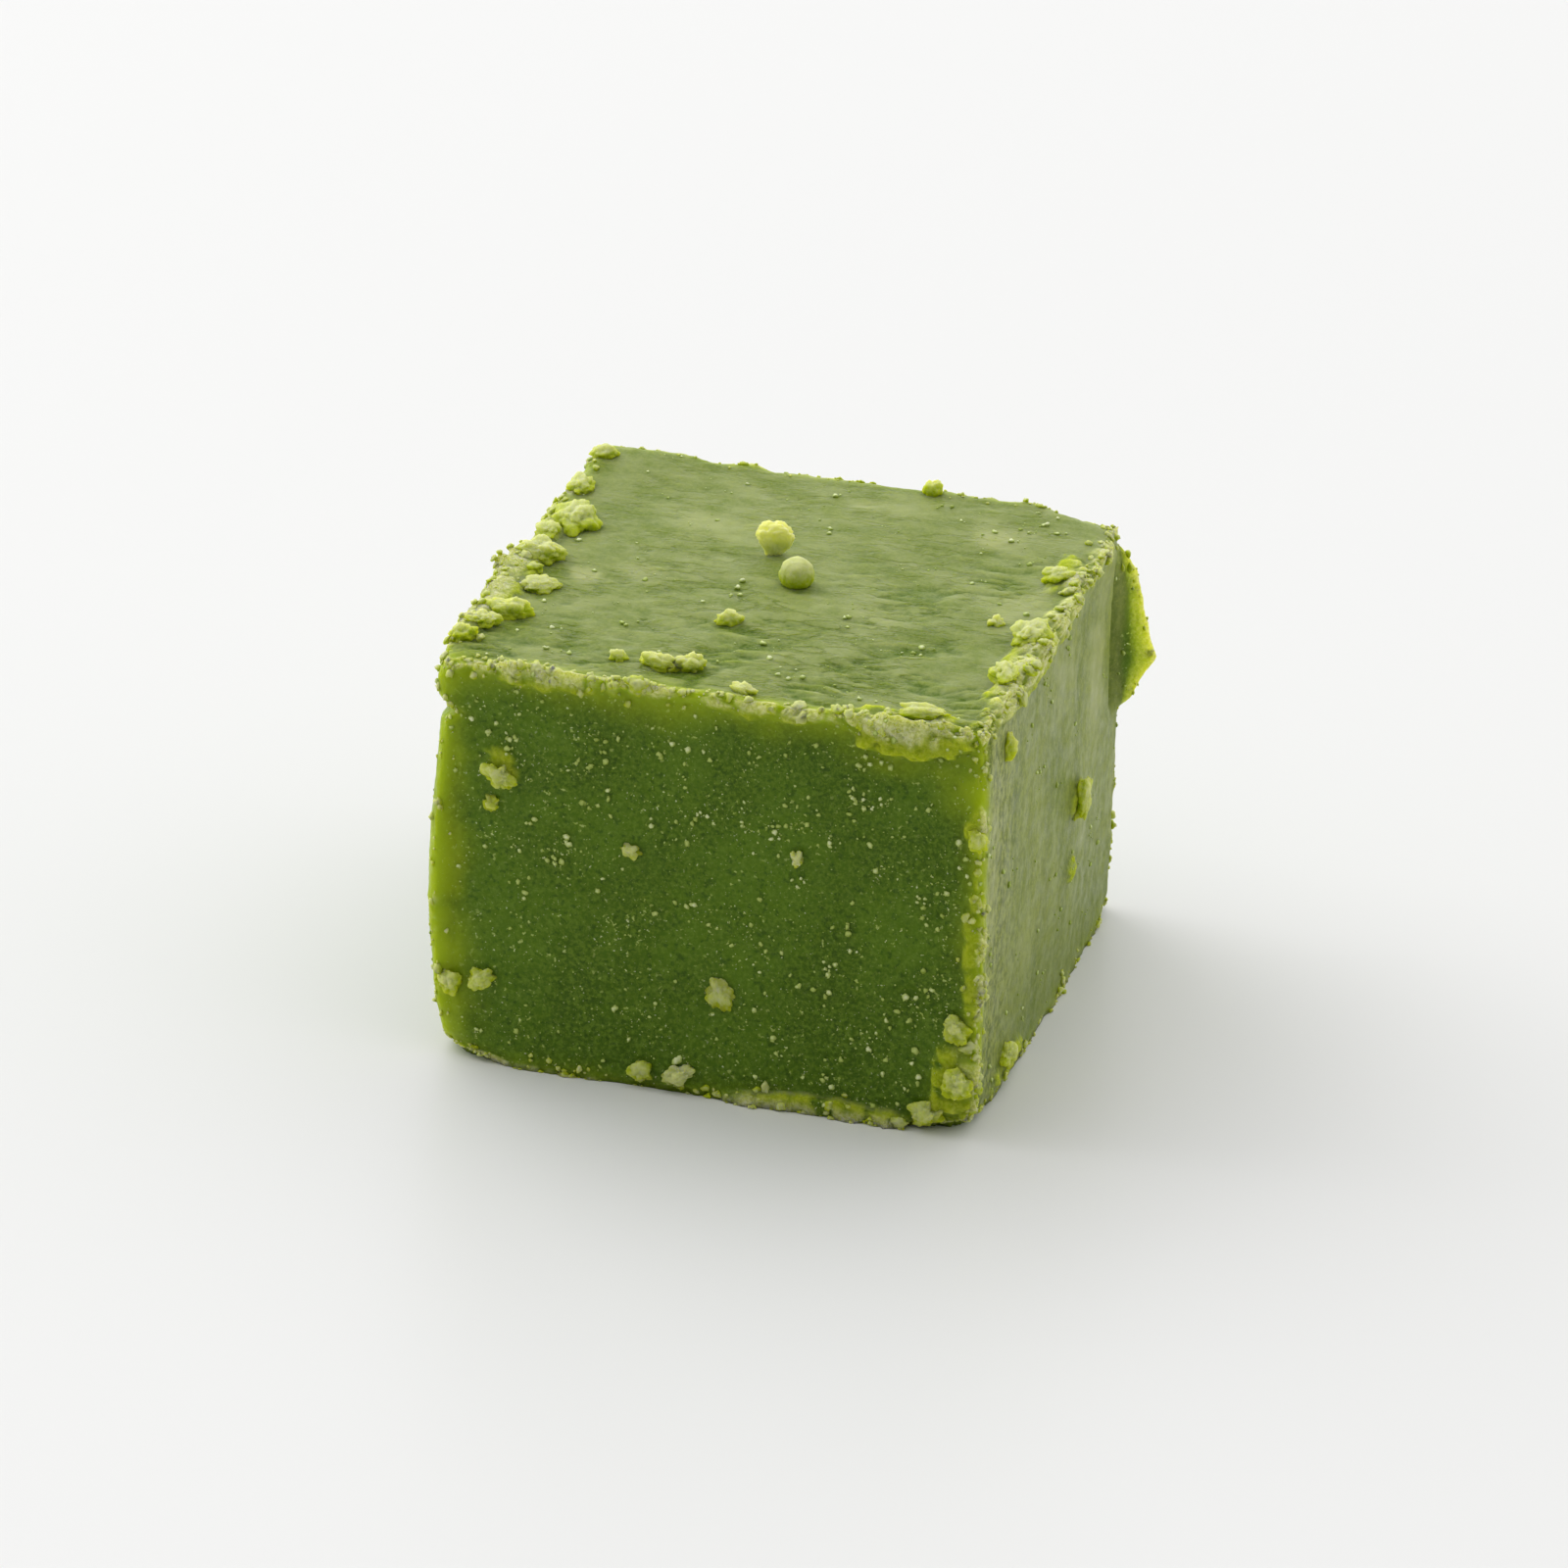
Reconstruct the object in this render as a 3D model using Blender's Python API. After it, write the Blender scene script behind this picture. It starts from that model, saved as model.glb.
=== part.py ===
"""One hand-cut piece of green tea nama chocolate, in metres, +Z up.

The origin is the middle of the flat base that the piece rests on. X is its width, Y its depth
with the front at -Y, and Z its height. The piece is one solid: a soft ganache block with the
ragged lips and drag marks that a knife leaves, and the crumbs that stick to it fused on.
"""

import math
import random

import bmesh
import bpy
from mathutils import Matrix, Vector, noise

MM = 0.001

# Driving dimensions of the cut block.
WIDTH = 22.0 * MM
DEPTH = 22.2 * MM
HEIGHT = 17.2 * MM
HALF = Vector((WIDTH, DEPTH, HEIGHT)) / 2
MIDDLE = Vector((0.0, 0.0, HEIGHT / 2))

# Each side of the block is an axis and the way it faces.
RIGHT = (0, 1)
LEFT = (0, -1)
BACK = (1, 1)
FRONT = (1, -1)
TOP = (2, 1)
BOTTOM = (2, -1)

# Grid of the block's surface: cells on each edge, and how much they crowd towards the edges.
CELLS = 26
CROWDING = 0.3

# Every edge: its two sides, its rounding, and the height and reach of its ragged lip.
PLAIN_RADIUS = 0.25 * MM
EDGES = {
    "top_front": {"sides": (TOP, FRONT), "radius": 0.30, "lip": 0.34, "reach": 0.55},
    "top_right": {"sides": (TOP, RIGHT), "radius": 0.35, "lip": 0.34, "reach": 0.60},
    "top_left": {"sides": (TOP, LEFT), "radius": 0.45, "lip": 0.30, "reach": 0.55},
    "top_back": {"sides": (TOP, BACK), "radius": 0.45, "lip": 0.16, "reach": 0.45},
    "front_right": {"sides": (FRONT, RIGHT), "radius": 0.55, "lip": 0.26, "reach": 0.50},
    "front_left": {"sides": (FRONT, LEFT), "radius": 1.05, "lip": 0.10, "reach": 0.60},
    "back_right": {"sides": (BACK, RIGHT), "radius": 0.70, "lip": 0.16, "reach": 0.50},
    "back_left": {"sides": (BACK, LEFT), "radius": 0.60, "lip": 0.20, "reach": 0.50},
    "bottom_front": {"sides": (FRONT, BOTTOM), "radius": 0.45, "lip": 0.20, "reach": 0.45},
    "bottom_right": {"sides": (RIGHT, BOTTOM), "radius": 0.45, "lip": 0.14, "reach": 0.45},
    "bottom_left": {"sides": (LEFT, BOTTOM), "radius": 0.80, "lip": 0.10, "reach": 0.45},
    "bottom_back": {"sides": (BACK, BOTTOM), "radius": 0.45, "lip": 0.16, "reach": 0.45},
}
ROUNDING_SPAN = 3.0 * MM
LIP_LENGTHS = (2.3 * MM, 0.9 * MM)

# Corners worn rounder than their edges: their three sides, and the rounding in millimetres.
CORNERS = [
    ((TOP, BACK, RIGHT), 1.50),
    ((TOP, FRONT, RIGHT), 1.10),
    ((TOP, FRONT, LEFT), 0.90),
    ((BOTTOM, FRONT, LEFT), 1.50),
    ((BOTTOM, FRONT, RIGHT), 1.30),
    ((BOTTOM, BACK, RIGHT), 1.00),
    ((BOTTOM, BACK, LEFT), 0.90),
]

# The soft base has settled: whatever is no higher than this lies flat on the ground.
SETTLED_HEIGHT = 0.20 * MM

# Slow waves of the soft sides.
WAVE_HEIGHT = 0.14 * MM
WAVE_LENGTH = 9.0 * MM

# Broad swellings of the soft sides, in millimetres: side, place across, place up or back,
# half width, half height, and how far they stand out.
BULGES = [
    (LEFT, -9.0, 8.0, 12.0, 9.0, 0.60),
    (TOP, -9.0, 10.5, 8.0, 4.0, 0.28),
    (RIGHT, 3.0, 7.5, 9.0, 8.5, 0.20),
    (BACK, 1.0, 8.0, 10.0, 8.5, 0.25),
]

# A fold under the top left corner, where the knife pushed the ganache out over the side.
FOLD_BELOW_TOP = 2.2 * MM
FOLD_DEPTH = 0.45 * MM
FOLD_HALF_HEIGHT = 0.34 * MM
FOLD_OVERHANG = 0.22 * MM
FOLD_BACK_END = -5.0 * MM

# A thin fin that the knife dragged out of the back right edge, and the crease beside it.
FIN_REACH = 1.05 * MM
FIN_TIP_Z = 11.2 * MM
FIN_LENGTH_UP = 5.6 * MM
FIN_LENGTH_DOWN = 2.4 * MM
FIN_HALF_THICKNESS = 0.46 * MM
FIN_SWELL = 0.55 * MM
FIN_CREASE_IN = 1.45 * MM
FIN_CREASE_HALF_WIDTH = 0.45 * MM
FIN_CREASE_DEPTH = 0.40 * MM

# Smeared patches of crumbly ganache, in millimetres: side, place across, place up or back,
# half width, half height, and how far they stand out.
SMEARS = [
    (FRONT, 8.0, 16.7, 3.0, 1.15, 0.36),
    (FRONT, 2.2, 16.9, 3.6, 0.55, 0.18),
    (FRONT, -6.6, 16.9, 4.0, 0.60, 0.20),
    (FRONT, 10.2, 2.3, 1.15, 2.3, 0.40),
    (FRONT, 10.7, 8.0, 0.55, 3.2, 0.22),
    (FRONT, 10.7, 13.0, 0.60, 1.4, 0.26),
    (FRONT, 5.0, 0.35, 5.6, 0.50, 0.38),
    (FRONT, -8.6, 12.9, 0.95, 1.10, 0.22),
    (TOP, 10.5, -4.0, 0.85, 5.6, 0.30),
    (TOP, 10.0, 4.6, 0.80, 2.6, 0.26),
    (TOP, -10.4, -2.0, 0.75, 7.4, 0.28),
    (TOP, 7.9, -10.4, 2.6, 0.65, 0.26),
    (RIGHT, -3.0, 16.7, 7.0, 0.60, 0.20),
    (RIGHT, -6.0, 0.9, 2.6, 0.70, 0.24),
    (LEFT, 5.5, 16.3, 3.0, 0.80, 0.26),
    (LEFT, -6.5, 1.1, 2.4, 0.90, 0.24),
    (BACK, -5.0, 16.6, 3.4, 0.70, 0.24),
    (BACK, 4.2, 0.8, 4.2, 0.65, 0.26),
]
SMEAR_RAGGED_LENGTH = 1.1 * MM

# Crumbs stuck on the block, in millimetres: side, place across, place up or back, width,
# height or length along the side, how far they stand out, and their turn in degrees.
CRUMBS = [
    (TOP, -1.4, 2.8, 2.00, 0.95, 1.40, 12),
    (TOP, 0.2, 0.2, 1.40, 1.30, 1.15, 0),
    (TOP, -1.3, -4.1, 1.10, 0.75, 0.42, 20),
    (TOP, -2.8, -9.0, 1.35, 0.80, 0.52, -10),
    (TOP, -2.2, -8.8, 0.95, 0.70, 0.36, 40),
    (TOP, -1.6, -8.6, 1.20, 0.80, 0.52, 15),
    (TOP, -4.5, -8.7, 0.75, 0.70, 0.38, 0),
    (TOP, 1.0, -10.3, 1.15, 0.60, 0.38, -25),
    (TOP, 8.6, -0.9, 0.70, 0.60, 0.30, 20),
    (TOP, -9.7, -6.2, 1.85, 1.10, 0.70, 12),
    (TOP, -9.4, -3.3, 1.60, 1.20, 0.42, 30),
    (TOP, -10.2, -7.5, 1.20, 1.00, 0.32, 0),
    (TOP, -10.1, -0.6, 1.90, 1.30, 0.58, -8),
    (TOP, -10.4, 1.5, 1.00, 1.40, 0.40, 10),
    (TOP, -9.8, 3.2, 1.75, 2.30, 0.78, 10),
    (TOP, -10.5, 6.6, 1.10, 1.80, 0.42, 0),
    (TOP, -10.5, -8.9, 1.15, 0.95, 0.52, 25),
    (TOP, -10.5, 9.8, 1.10, 1.00, 0.36, 0),
    (TOP, 3.0, 10.6, 0.80, 0.60, 0.60, 25),
    (TOP, 10.3, -2.4, 1.40, 2.00, 0.55, -8),
    (TOP, 10.3, -6.2, 1.10, 1.60, 0.42, 15),
    (TOP, 9.9, 4.0, 1.00, 1.30, 0.36, -30),
    (TOP, 8.2, -10.4, 1.90, 0.90, 0.38, 5),
    (FRONT, -9.1, 3.7, 1.15, 0.85, 0.50, 20),
    (FRONT, -10.3, 3.4, 0.95, 1.05, 0.45, 0),
    (FRONT, -8.4, 12.6, 0.95, 1.30, 0.35, 60),
    (FRONT, -8.8, 11.3, 0.65, 0.60, 0.30, 0),
    (FRONT, 0.6, 4.5, 1.00, 1.30, 0.25, 15),
    (FRONT, -3.1, 10.1, 0.80, 0.50, 0.28, -10),
    (FRONT, 3.6, 10.8, 0.50, 0.70, 0.35, 10),
    (FRONT, -2.5, 0.75, 0.95, 0.85, 0.45, 0),
    (FRONT, -0.9, 0.8, 1.20, 0.80, 0.45, 25),
    (FRONT, 10.2, 4.6, 0.95, 1.15, 0.50, 35),
    (FRONT, 10.3, 2.4, 1.15, 1.35, 0.55, -20),
    (FRONT, 9.2, 0.9, 1.40, 0.95, 0.50, 10),
    (FRONT, 10.7, 12.8, 0.70, 0.95, 0.40, 15),
    (RIGHT, -7.9, 15.4, 1.10, 0.60, 0.40, 80),
    (RIGHT, 3.1, 8.4, 1.70, 1.10, 0.40, 70),
    (RIGHT, -6.5, 1.4, 1.30, 0.95, 0.45, 10),
    (LEFT, 6.0, 15.6, 1.60, 1.10, 0.55, 20),
    (LEFT, -1.5, 9.6, 1.20, 0.90, 0.40, 45),
    (LEFT, 7.6, 4.2, 1.00, 1.10, 0.40, 0),
    (BACK, -6.4, 13.6, 1.40, 1.10, 0.45, 30),
    (BACK, 3.4, 6.2, 1.00, 1.30, 0.40, -20),
    (BACK, 7.2, 1.4, 1.40, 0.90, 0.50, 5),
]
CRUMB_POINTS = 26
CRUMB_SUNK_SHARE = 0.42

# Crumbs that stand free instead of being pressed in: which of the list they are, the share
# that is sunk, and how much narrower their foot is than their top.
STANDING_CRUMBS = {0: (0.12, 0.45), 1: (0.15, 0.0)}
CRUMB_SEED = 41


def facing(side):
    """The unit vector that points out of a side."""
    axis, way = side
    direction = Vector((0.0, 0.0, 0.0))
    direction[axis] = way
    return direction


def depth_under(side, point):
    """How far a point, counted from the block's middle, lies under a side."""
    axis, way = side
    return HALF[axis] - way * point[axis]


def eased(low, high, value):
    """A smooth step from 0 at low to 1 at high."""
    share = max(0.0, min(1.0, (value - low) / (high - low)))
    return share * share * (3.0 - 2.0 * share)


def edge_distance(edge, point):
    first, second = edge["sides"]
    return math.hypot(depth_under(first, point), depth_under(second, point))


def nearness(distance):
    """How much of an edge's or a corner's rounding is left this far from it."""
    return 1.0 / (1.0 + (distance / ROUNDING_SPAN) ** 4)


def rounding(point):
    """The radius near a point: that of the nearest edge or corner, fading into the plain one."""
    radius = PLAIN_RADIUS
    for edge in EDGES.values():
        radius = max(radius, edge["radius"] * MM * nearness(edge_distance(edge, point)))
    for sides, corner_radius in CORNERS:
        distance = Vector([depth_under(side, point) for side in sides]).length
        radius = max(radius, corner_radius * MM * nearness(distance))
    return radius


def rounded(point):
    """The place of a box point once the edges are rounded, and the way out of the surface there."""
    radius = rounding(point)
    core = Vector(
        [max(radius - half, min(half - radius, value)) for value, half in zip(point, HALF)]
    )
    outward = (point - core).normalized()
    return core + outward * radius, outward


def ragged(place, seed):
    """An uneven strength along an edge, from 0.1 to about 1.5."""
    long_wave, short_wave = LIP_LENGTHS
    slow = noise.noise(Vector((place / long_wave, seed, 0.5)))
    quick = noise.noise(Vector((place / short_wave, seed, 7.5)))
    return max(0.1, 0.65 + 0.9 * slow + 0.55 * quick)


def lip_push(point):
    """The push of the ragged lips along the edges, where lips meet no longer than the longest."""
    push = Vector((0.0, 0.0, 0.0))
    longest = 0.0
    for number, edge in enumerate(EDGES.values()):
        reach = edge["reach"] * MM
        distance = edge_distance(edge, point)
        if distance > 3.0 * reach:
            continue
        first, second = edge["sides"]
        running = 3 - first[0] - second[0]
        height = edge["lip"] * MM * ragged(point[running], 3.1 * number)
        way = facing(first) if second == BOTTOM else (facing(first) + facing(second)).normalized()
        strength = height * math.exp(-((distance / reach) ** 2))
        push += way * strength
        longest = max(longest, strength)
    return push * (longest / push.length) if push.length > longest else push


def closeness(patch, point, outward):
    """1 in a patch's middle, 0 on its rim and less beyond, and how squarely its side is faced."""
    (axis, way), across, along, half_width, half_height = patch[:5]
    squarely = eased(0.25, 0.75, outward[axis] * way)
    first = point.y if axis == 0 else point.x
    second = point.y if axis == 2 else point.z + MIDDLE.z
    away = math.hypot(
        (first - across * MM) / (half_width * MM),
        (second - along * MM) / (half_height * MM),
    )
    return 1.0 - away, squarely


def smear_lift(point, outward):
    """How far the smeared patches stand out at a point of the surface."""
    lift = 0.0
    ragged_rim = 0.35 * noise.noise((point + MIDDLE) / SMEAR_RAGGED_LENGTH)
    for patch in SMEARS:
        inside, squarely = closeness(patch, point, outward)
        lift = max(lift, patch[5] * MM * eased(0.0, 0.50, inside - ragged_rim) * squarely)
    return lift


def bulge_lift(point, outward):
    """How far the broad swellings stand out at a point of the surface."""
    lift = 0.0
    for patch in BULGES:
        inside, squarely = closeness(patch, point, outward)
        lift += patch[5] * MM * eased(0.0, 1.0, inside) * squarely
    return lift


def wave_lift(point):
    """The slow unevenness of a soft block cut by hand."""
    return WAVE_HEIGHT * noise.noise(point / WAVE_LENGTH + Vector((4.2, 1.7, 9.3)))


def fold_push(point):
    """The overhanging corner at the top left, and the crease below it."""
    below = depth_under(TOP, point)
    near_left = 1.0 - eased(0.4 * MM, 1.6 * MM, depth_under(LEFT, point))
    near_front = 1.0 - eased(FOLD_BACK_END - 5.0 * MM, FOLD_BACK_END, point.y)
    crease = math.exp(-(((below - FOLD_BELOW_TOP) / FOLD_HALF_HEIGHT) ** 2))
    overhang = 1.0 - eased(FOLD_BELOW_TOP - FOLD_HALF_HEIGHT, FOLD_BELOW_TOP, below)
    outwards = FOLD_OVERHANG * overhang - FOLD_DEPTH * crease
    return facing(LEFT) * outwards * near_left * near_front


def fin_push(point):
    """The thin fin drawn out of the back right edge, and the crease beside it."""
    distance = edge_distance(EDGES["back_right"], point)
    above_tip = point.z + MIDDLE.z - FIN_TIP_Z
    length = FIN_LENGTH_UP if above_tip > 0 else FIN_LENGTH_DOWN
    taper = max(0.0, 1.0 - abs(above_tip) / length)
    reach = FIN_REACH * taper**1.8 + FIN_SWELL * eased(0.0, 0.30, taper)
    thin = math.exp(-((distance / FIN_HALF_THICKNESS) ** 2))
    beside = (depth_under(BACK, point) - FIN_CREASE_IN) / FIN_CREASE_HALF_WIDTH
    on_side = 1.0 - eased(0.0, 0.3 * MM, depth_under(RIGHT, point))
    crease = FIN_CREASE_DEPTH * eased(0.0, 0.6, taper) * math.exp(-(beside**2)) * on_side
    return Vector((1.0, 0.12, 0.0)) * reach * thin - facing(RIGHT) * crease


def cut_surface(grid_point):
    """The place on the finished block of a grid point, whose coordinates run from -1 to 1."""
    crowded = [q + CROWDING * q * (1.0 - q * q) for q in grid_point]
    point = Vector([q * half for q, half in zip(crowded, HALF)])
    surface, outward = rounded(point)
    if outward.z > -0.9:
        lift = wave_lift(point) + bulge_lift(point, outward) + smear_lift(point, outward)
        surface += outward * lift
        surface += lip_push(point) + fold_push(point) + fin_push(point)
    surface += MIDDLE
    if surface.z < SETTLED_HEIGHT:
        surface.z = 0.0
    return surface


def ganache_material():
    """Ganache of white chocolate, cream and green tea: waxy, soft and faintly translucent."""
    material = bpy.data.materials.new("green_tea_ganache")
    material.use_nodes = True
    shader = material.node_tree.nodes["Principled BSDF"]
    shader.inputs["Base Color"].default_value = (0.115, 0.175, 0.022, 1.0)
    shader.inputs["Roughness"].default_value = 0.45
    shader.inputs["Metallic"].default_value = 0.0
    shader.inputs["Subsurface Weight"].default_value = 0.6
    shader.inputs["Subsurface Scale"].default_value = 1.2 * MM
    return material


def solid_object(name, shape, collection):
    """An object holding a bmesh, which is freed."""
    mesh = bpy.data.meshes.new(name)
    shape.to_mesh(mesh)
    shape.free()
    solid = bpy.data.objects.new(name, mesh)
    collection.objects.link(solid)
    return solid


def cut_block(name):
    """The block itself: a cube's grid laid on the cut surface."""
    shape = bmesh.new()
    bmesh.ops.create_cube(shape, size=2.0)
    bmesh.ops.subdivide_edges(shape, edges=shape.edges[:], cuts=CELLS - 1, use_grid_fill=True)
    for vertex in shape.verts:
        vertex.co = cut_surface(vertex.co)
    bmesh.ops.recalc_face_normals(shape, faces=shape.faces[:])
    return solid_object(name, shape, bpy.context.scene.collection)


def crumb_frame(side, across, along, turn):
    """The matrix that lays a crumb's X across a side, its Y along it and its Z out of it."""
    out = facing(side)
    up = Vector((0.0, 1.0, 0.0)) if side[0] == 2 else Vector((0.0, 0.0, 1.0))
    sideways = up.cross(out)
    axes = Matrix((sideways, up, out)).transposed().to_4x4()
    place = out * HALF[side[0]] + MIDDLE
    place[1 if side[0] == 0 else 0] = across * MM
    place[1 if side[0] == 2 else 2] = along * MM
    return Matrix.Translation(place) @ axes @ Matrix.Rotation(math.radians(turn), 4, "Z")


def crumb(number, side, across, along, width, length, height, turn, collection):
    """A chip of ganache: the hull of a few points strewn over an ellipsoid, partly sunk."""
    rng = random.Random(CRUMB_SEED + number)
    sunk, narrowing = STANDING_CRUMBS.get(number, (CRUMB_SUNK_SHARE, 0.0))
    stature = height / (1.0 - sunk)
    size = Vector((width, length, stature)) * MM / 2
    shape = bmesh.new()
    for _ in range(CRUMB_POINTS):
        spread = Vector([rng.gauss(0.0, 1.0) for _ in range(3)]).normalized()
        spread *= rng.uniform(0.95, 1.12)
        girth = 1.0 - narrowing * (1.0 - spread.z) / 2
        shape.verts.new((spread.x * size.x * girth, spread.y * size.y * girth, spread.z * size.z))
    hull = bmesh.ops.convex_hull(shape, input=shape.verts[:])
    inside = [part for part in hull["geom_interior"] if isinstance(part, bmesh.types.BMVert)]
    bmesh.ops.delete(shape, geom=inside, context="VERTS")
    raised = Matrix.Translation((0.0, 0.0, size.z * (1.0 - 2.0 * sunk)))
    shape.transform(crumb_frame(side, across, along, turn) @ raised)
    for vertex in shape.verts:
        vertex.co.z = max(1.5 * SETTLED_HEIGHT, vertex.co.z)
    bmesh.ops.recalc_face_normals(shape, faces=shape.faces[:])
    return solid_object(f"crumb_{number}", shape, collection)


def fuse(block, pieces):
    """Joins every piece of a collection to the block by one union, and removes the pieces."""
    union = block.modifiers.new("crumbs", "BOOLEAN")
    union.operation = "UNION"
    union.operand_type = "COLLECTION"
    union.collection = pieces
    graph = bpy.context.evaluated_depsgraph_get()
    fused = bpy.data.meshes.new_from_object(block.evaluated_get(graph))
    block.modifiers.clear()
    block.data = fused
    for piece in list(pieces.objects):
        bpy.data.objects.remove(piece)
    bpy.data.collections.remove(pieces)


def main():
    for old in list(bpy.data.objects):
        bpy.data.objects.remove(old)
    block = cut_block("ganache_piece")
    crumbs = bpy.data.collections.new("crumbs")
    bpy.context.scene.collection.children.link(crumbs)
    for number, row in enumerate(CRUMBS):
        crumb(number, *row, crumbs)
    fuse(block, crumbs)
    block.data.materials.clear()
    block.data.materials.append(ganache_material())
    block.data.shade_smooth()
    block.data.set_sharp_from_angle(angle=math.radians(50))


main()
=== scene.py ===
"""The looks of one hand-cut piece of green tea nama chocolate, on a pale table in soft light."""

import math
import random

import bmesh
import bpy
from mathutils import Matrix, Quaternion, Vector, noise


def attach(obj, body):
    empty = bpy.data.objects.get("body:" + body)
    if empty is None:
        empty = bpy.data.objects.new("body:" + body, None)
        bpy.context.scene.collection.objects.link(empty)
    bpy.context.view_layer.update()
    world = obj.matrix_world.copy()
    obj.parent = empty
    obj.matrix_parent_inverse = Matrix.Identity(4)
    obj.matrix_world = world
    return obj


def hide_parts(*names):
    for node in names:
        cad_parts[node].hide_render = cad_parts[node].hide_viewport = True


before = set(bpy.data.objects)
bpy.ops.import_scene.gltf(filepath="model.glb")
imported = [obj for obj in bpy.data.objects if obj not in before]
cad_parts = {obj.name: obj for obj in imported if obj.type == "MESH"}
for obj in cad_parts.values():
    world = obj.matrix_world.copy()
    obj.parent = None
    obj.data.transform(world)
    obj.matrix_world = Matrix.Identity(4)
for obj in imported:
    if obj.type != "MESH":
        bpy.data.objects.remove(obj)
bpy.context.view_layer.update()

MM = 0.001

# ---------------------------------------------------------------------------------------------
# The form of the cut block, the same as its solid's. Lengths in the tables are millimetres.
# ---------------------------------------------------------------------------------------------

WIDTH = 22.0 * MM
DEPTH = 22.2 * MM
HEIGHT = 17.2 * MM
HALF = Vector((WIDTH, DEPTH, HEIGHT)) / 2
MIDDLE = Vector((0.0, 0.0, HEIGHT / 2))

# Each side of the block is an axis and the way it faces.
RIGHT = (0, 1)
LEFT = (0, -1)
BACK = (1, 1)
FRONT = (1, -1)
TOP = (2, 1)
BOTTOM = (2, -1)

SIDES = (RIGHT, LEFT, BACK, FRONT, TOP, BOTTOM)

# Cells on each edge of the skin's grid, and how much they crowd towards the edges.
CELLS = 120
CROWDING = 0.35

PLAIN_RADIUS = 0.25 * MM
EDGES = {
    "top_front": {"sides": (TOP, FRONT), "radius": 0.30, "lip": 0.34, "reach": 0.55},
    "top_right": {"sides": (TOP, RIGHT), "radius": 0.35, "lip": 0.34, "reach": 0.60},
    "top_left": {"sides": (TOP, LEFT), "radius": 0.45, "lip": 0.30, "reach": 0.55},
    "top_back": {"sides": (TOP, BACK), "radius": 0.45, "lip": 0.16, "reach": 0.45},
    "front_right": {"sides": (FRONT, RIGHT), "radius": 0.55, "lip": 0.26, "reach": 0.50},
    "front_left": {"sides": (FRONT, LEFT), "radius": 1.05, "lip": 0.10, "reach": 0.60},
    "back_right": {"sides": (BACK, RIGHT), "radius": 0.70, "lip": 0.16, "reach": 0.50},
    "back_left": {"sides": (BACK, LEFT), "radius": 0.60, "lip": 0.20, "reach": 0.50},
    "bottom_front": {"sides": (FRONT, BOTTOM), "radius": 0.45, "lip": 0.20, "reach": 0.45},
    "bottom_right": {"sides": (RIGHT, BOTTOM), "radius": 0.45, "lip": 0.14, "reach": 0.45},
    "bottom_left": {"sides": (LEFT, BOTTOM), "radius": 0.80, "lip": 0.10, "reach": 0.45},
    "bottom_back": {"sides": (BACK, BOTTOM), "radius": 0.45, "lip": 0.16, "reach": 0.45},
}
ROUNDING_SPAN = 3.0 * MM

# The waves of a lip's height, and what sets those of each edge apart.
LIP_LENGTHS = (2.3 * MM, 0.9 * MM)
LIP_SEED_STEP = 3.1

# Corners worn rounder than their edges: their three sides, and the rounding.
CORNERS = [
    ((TOP, BACK, RIGHT), 1.50),
    ((TOP, FRONT, RIGHT), 1.10),
    ((TOP, FRONT, LEFT), 0.90),
    ((BOTTOM, FRONT, LEFT), 1.50),
    ((BOTTOM, FRONT, RIGHT), 1.30),
    ((BOTTOM, BACK, RIGHT), 1.00),
    ((BOTTOM, BACK, LEFT), 0.90),
]

# The soft base has settled: whatever is no higher than this lies flat on the ground.
SETTLED_HEIGHT = 0.20 * MM

# Slow waves of the soft sides.
WAVE_HEIGHT = 0.14 * MM
WAVE_LENGTH = 9.0 * MM

# Broad swellings: side, place across, place up or back, half width, half height, height.
BULGES = [
    (LEFT, -9.0, 8.0, 12.0, 9.0, 0.60),
    (TOP, -9.0, 10.5, 8.0, 4.0, 0.28),
    (RIGHT, 3.0, 7.5, 9.0, 8.5, 0.20),
    (BACK, 1.0, 8.0, 10.0, 8.5, 0.25),
]

# The fold under the top left corner.
FOLD_BELOW_TOP = 2.2 * MM
FOLD_DEPTH = 0.45 * MM
FOLD_HALF_HEIGHT = 0.34 * MM
FOLD_OVERHANG = 0.22 * MM
FOLD_BACK_END = -5.0 * MM

# The thin fin dragged out of the back right edge, and the crease beside it.
FIN_REACH = 1.05 * MM
FIN_TIP_Z = 11.2 * MM
FIN_LENGTH_UP = 5.6 * MM
FIN_LENGTH_DOWN = 2.4 * MM
FIN_HALF_THICKNESS = 0.46 * MM
FIN_SWELL = 0.55 * MM
FIN_CREASE_IN = 1.45 * MM
FIN_CREASE_HALF_WIDTH = 0.45 * MM
FIN_CREASE_DEPTH = 0.40 * MM

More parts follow.
